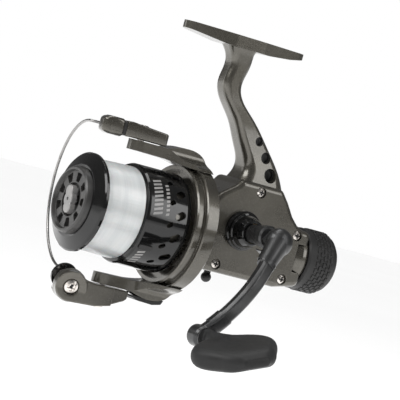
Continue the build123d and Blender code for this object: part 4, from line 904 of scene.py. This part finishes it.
for number, (x, height, radius) in enumerate(cup_places, 1):
    for side, where in ((1, "near"), (-1, "far")):
        painted_shade_liner(f"stem_shade_cup_{number}_{where}", x, height, radius, side)
print("cup liners:", 2 * len(cup_places))

# %% [markdown]
# ## The grip on the drag knob
#
# The knob at the back sets how hard a fish has to pull before line slips. Wet fingers
# turn it, so its middle is covered with small raised blocks, staggered like bricks.

# %% Grip blocks
grip_start = knob_low.x + 4.2 * mm
grip_length = 9.0 * mm
grip_rows = 5
grip_columns = 28
rooted = 0.1 * mm                       # how far the blocks start inside the knob
knob_r = (knob_high.y - knob_low.y) / 2
around = 2 * pi * knob_r / grip_columns
make("drag_knob_grip", wrap, wrap_inputs, {
    "Along": float(grip_rows), "Around": float(grip_columns),
    "Pitch Along": grip_length / grip_rows, "Pitch Around": around, "Stagger": 0.5,
    "Start": grip_start, "Radius": knob_r - rooted, "Axis Height": axis_z,
    "Length": 1.5 * mm, "Width": around * 0.8, "Height": 0.5 * mm, "Taper": 0.25,
}, "matte_black", "drag_knob")

# %% [markdown]
# ## The painted-shade crosses in the screw heads
#
# The cross in a screw's head shows as shade more than as a shape. A dark cross lies at
# its floor in each head: painted shade. One cross is built, and an instance of it is put
# on every point of a small cloud, where each point is the floor of one screw.

# %% A recipe for crosses
cross_names = ["Arm", "Slot", "Depth", "Turn"]
cross, given, cross_inputs = recipe("screw_crosses", cross_names, starts_from="Cloud")
bar = cross.node("GeometryNodeMeshCube", sockets={
    "Size": vector(cross, given["Arm"] * 2.0, given["Depth"], given["Slot"] * 2.0)})
post = cross.node("GeometryNodeMeshCube", sockets={
    "Size": vector(cross, given["Slot"] * 2.0, given["Depth"] * 0.9, given["Arm"] * 2.0)})
both = cross.node("GeometryNodeJoinGeometry")
for shape in (bar, post):
    cross.tree.links.new(shape.socket, both.socket.node.inputs[0])
laid = cross.node("GeometryNodeInstanceOnPoints", sockets={
    "Points": given["Cloud"], "Instance": both,
    "Rotation": vector(cross, 0.0, 0.0, given["Turn"])})
ends(cross, given, laid)
print("screw crosses: nodes", len(cross.tree.nodes))

# %% [markdown]
# The four screws of the cover face the handle. The roller's screw points sideways off the
# bail, so the seat of its head is found from how far the edges of the head reach past it.

# %% Painted-shade crosses in the cover's screws and the roller's screw
cross_depth = 0.12 * mm
head_height = 1.5 * mm
recess_floor = 0.78 * mm                # above the seat of the head
cross_middle = recess_floor + cross_depth / 2
screw_places = ((-22.0, 23.8), (-8.5, -11.2), (-45.9, 9.6), (-43.7, -10.7))
cover_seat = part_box("side_cover_screws")[1].y - head_height
make("cover_screw_shade_crosses", cross, cross_inputs,
     {"Arm": 1.17 * mm, "Slot": 0.4 * mm, "Depth": cross_depth, "Turn": 0.0},
     "matte_black", "housing",
     [(x * mm, cover_seat + cross_middle, axis_z + height * mm) for x, height in screw_places])

head_r = 3.0 * mm
rim_height = 0.55 * head_height         # where the head is widest
face_r = 0.55 * head_r                  # radius of the flat of the head
reach_x = rim_height * sin(toe) + head_r * cos(toe)
reach_y = head_height * cos(toe) + face_r * sin(toe)
screw_low, screw_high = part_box("roller_screw")
roller_seat = Vector((screw_high.x - reach_x, screw_high.y - reach_y,
                      (screw_low.z + screw_high.z) / 2))
make("roller_screw_shade_cross", cross, cross_inputs,
     {"Arm": 1.8 * mm, "Slot": 0.62 * mm, "Depth": cross_depth, "Turn": -toe},
     "matte_black", "bail", [roller_seat + sideways * cross_middle])

# %% [markdown]
# ## The print on the spool's skirt
#
# A reel of this kind carries print there. This one has plain groups of slanted bars, and
# the wrapping recipe makes them too. They are thin pads of ink, a few hundredths of a
# millimetre proud, and each group comes twice, so that one always faces out.

# %% Printed bars
skirt_r = (spool_high.y - spool_low.y) / 2
bar_pitch = radians(5)
bar_step = bar_pitch * skirt_r
ink = 0.04 * mm                         # how far the print stands over the skirt
ink_root = 0.06 * mm                    # and how far it starts inside
bar_groups = [          # (name, first turn, bars, from the skirt's front in mm, length in mm)
    ("long", 38, 9, 3.0, 4.4), ("short", 43, 8, 9.2, 1.7), ("low", 128, 5, 3.2, 3.4)]
for group, first, bars, back, length in bar_groups:
    for side, turn in (("near", 0), ("far", 180)):
        make(f"skirt_bars_{group}_{side}", wrap, wrap_inputs, {
            "Along": 1.0, "Around": float(bars), "Pitch Along": length * mm,
            "Pitch Around": bar_step, "Slant": 0.3,
            "Start": line_low.x - (back + length) * mm, "Turn": radians(first + turn),
            "Radius": skirt_r - ink_root, "Axis Height": axis_z, "Length": length * mm,
            "Width": bar_step * 0.55, "Height": ink_root + ink,
        }, "grey_plastic", "spool")
print("skirt radius, mm:", round(skirt_r / mm, 2))

# %% [markdown]
# ## The wound line
#
# A full spool shows the last layer of line: turns side by side, each about three tenths
# of a millimetre thick. It is one long helix, so a straight curve is bent by a rule:
# along its length it goes round and round while it creeps from the front to the back, and
# its radius grows a little, because line piles up at the back.

# %% A recipe for a winding
wind_names = ["Turns", "Start", "Width", "Front Radius", "Rear Radius", "Line Radius",
              "Steps", "Axis Height"]
wind, given, wind_inputs = recipe("winding", wind_names)
span = wind.node("GeometryNodeCurvePrimitiveLine", sockets={"Start": (0, 0, 0), "End": (1, 0, 0)})
span = wind.node("GeometryNodeResampleCurve",
                 sockets={"Curve": span, "Count": given["Turns"] * given["Steps"] + 1.0})
share = wind.node("GeometryNodeSplineParameter")
turn_r = given["Front Radius"] + share * (given["Rear Radius"] - given["Front Radius"])
angle = share * given["Turns"] * (2 * pi)
spot = vector(wind, given["Start"] - share * given["Width"], turn_r * angle.math("SINE", angle),
              given["Axis Height"] + turn_r * angle.math("COSINE", angle))
span = wind.node("GeometryNodeSetPosition", sockets={"Geometry": span, "Position": spot})
ring = wind.node("GeometryNodeCurvePrimitiveCircle",
                 sockets={"Resolution": 6, "Radius": given["Line Radius"]})
laid = wind.node("GeometryNodeCurveToMesh",
                 sockets={"Curve": span, "Profile Curve": ring, "Fill Caps": True})
laid = wind.node("GeometryNodeSetShadeSmooth", sockets={"Geometry": laid})
ends(wind, given, laid)
print("winding: nodes", len(wind.tree.nodes))

# %% [markdown]
# The middles of the turns lie a little inside the solid winding, so only their outer
# halves show and no gap is left between them.

# %% Wind the line
line_r = 0.15 * mm
sunk = 0.1 * mm                         # how far the turns' middles lie in the solid
line_width = line_high.x - line_low.x - 2 * line_r
make("line_top_layer", wind, wind_inputs, {
    "Turns": float(int(line_width / (2 * line_r))), "Start": line_high.x - line_r,
    "Width": line_width, "Front Radius": 19.7 * mm - sunk, "Rear Radius": 20.3 * mm - sunk,
    "Line Radius": line_r, "Steps": 80.0, "Axis Height": axis_z,
}, "line", "spool")

# %% [markdown]
# ## Floor and light
#
# A pale floor and a pale surround keep attention on the reel. Glossy lacquer shows what
# is around it more than it shows itself, so the lamps matter for their size and place.
# The key is a large soft box high on the left, in front of the reel. A tall narrow one on
# the right draws the long highlights on the rotor and the handle, a wide one overhead
# lights the tops, and a weak one low on the left lifts the far rims.
#
# The floor lies well below the reel, so that it gives back light and catches no dark
# shadow: the reel hangs, as it would from a rod.

# %% Floor
floor_drop = 60 * mm
floor_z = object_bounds()[0].z - floor_drop
floor_finish = Finish("floor_paint", {"Specular IOR Level": 0.1})
cloud = floor_finish.noise(0.8, 3)
floor_finish.done(colour=floor_finish.mix(cloud, grey(0.93), grey(0.96)),
                  roughness=0.85 + cloud * 0.1)
floor_mesh = bpy.data.meshes.new("floor")
half = 30.0                             # metres, so that its edge is out of sight
corners = [(-half, -half), (half, -half), (half, half), (-half, half)]
floor_mesh.from_pydata([(x, y, floor_z) for x, y in corners], [], [(0, 1, 2, 3)])
floor_mesh.materials.append(floor_finish.material)
shown(floor_mesh)
print("floor at, mm:", round(floor_z / mm, 1))


# %% Lamps
def softbox(name, where, width, height, watts):
    """A soft lamp that faces the middle of the reel; where is right, up and near, in metres."""
    data = bpy.data.lights.new(name, "AREA")
    data.shape = "RECTANGLE"
    data.size = width
    data.size_y = height
    data.energy = watts
    lamp = bpy.data.objects.new(name, data)
    bpy.context.scene.collection.objects.link(lamp)
    offset = camera_x * where[0] + camera_y * where[1] + camera_z * where[2]
    lamp.matrix_world = Matrix.Translation(looks_at + offset) @ turned_to(offset)


lamps = [                               # (name, place, width, height, watts)
    ("key_box", (-0.6, 1.0, 0.7), 0.9, 0.6, 11), ("side_box", (1.15, 0.42, 0.38), 0.3, 1.2, 4.5),
    ("top_box", (0.1, 1.3, -0.1), 1.2, 0.4, 6), ("left_box", (-1.05, 0.2, -0.35), 0.35, 0.9, 1.6)]
for lamp in lamps:
    softbox(*lamp)
print("lamps:", len(lamps))

# %% [markdown]
# ## The surround
#
# The surround is white for the camera and for soft light, and dim for reflections. A
# white room all round would turn every black surface grey. A real studio hangs up black
# cloth for the same reason.

# %% Surround
surround = bpy.data.worlds.new("surround")
surround.use_nodes = True
sky = Graph(surround.node_tree)
kinds_of_ray = sky.node("ShaderNodeLightPath").socket.node.outputs
seen_by_camera = Val(sky, kinds_of_ray["Is Camera Ray"])
soft_light = Val(sky, kinds_of_ray["Is Diffuse Ray"])
in_reflections = 0.15
strength = seen_by_camera * 0.85 + soft_light * 0.9 + in_reflections
sky.feed(surround.node_tree.nodes["Background"].inputs["Strength"], strength)
surround.node_tree.nodes["Background"].inputs["Color"].default_value = grey(1.0)
bpy.context.scene.world = surround
bpy.context.scene.view_settings.view_transform = "Standard"
print("surround ready")
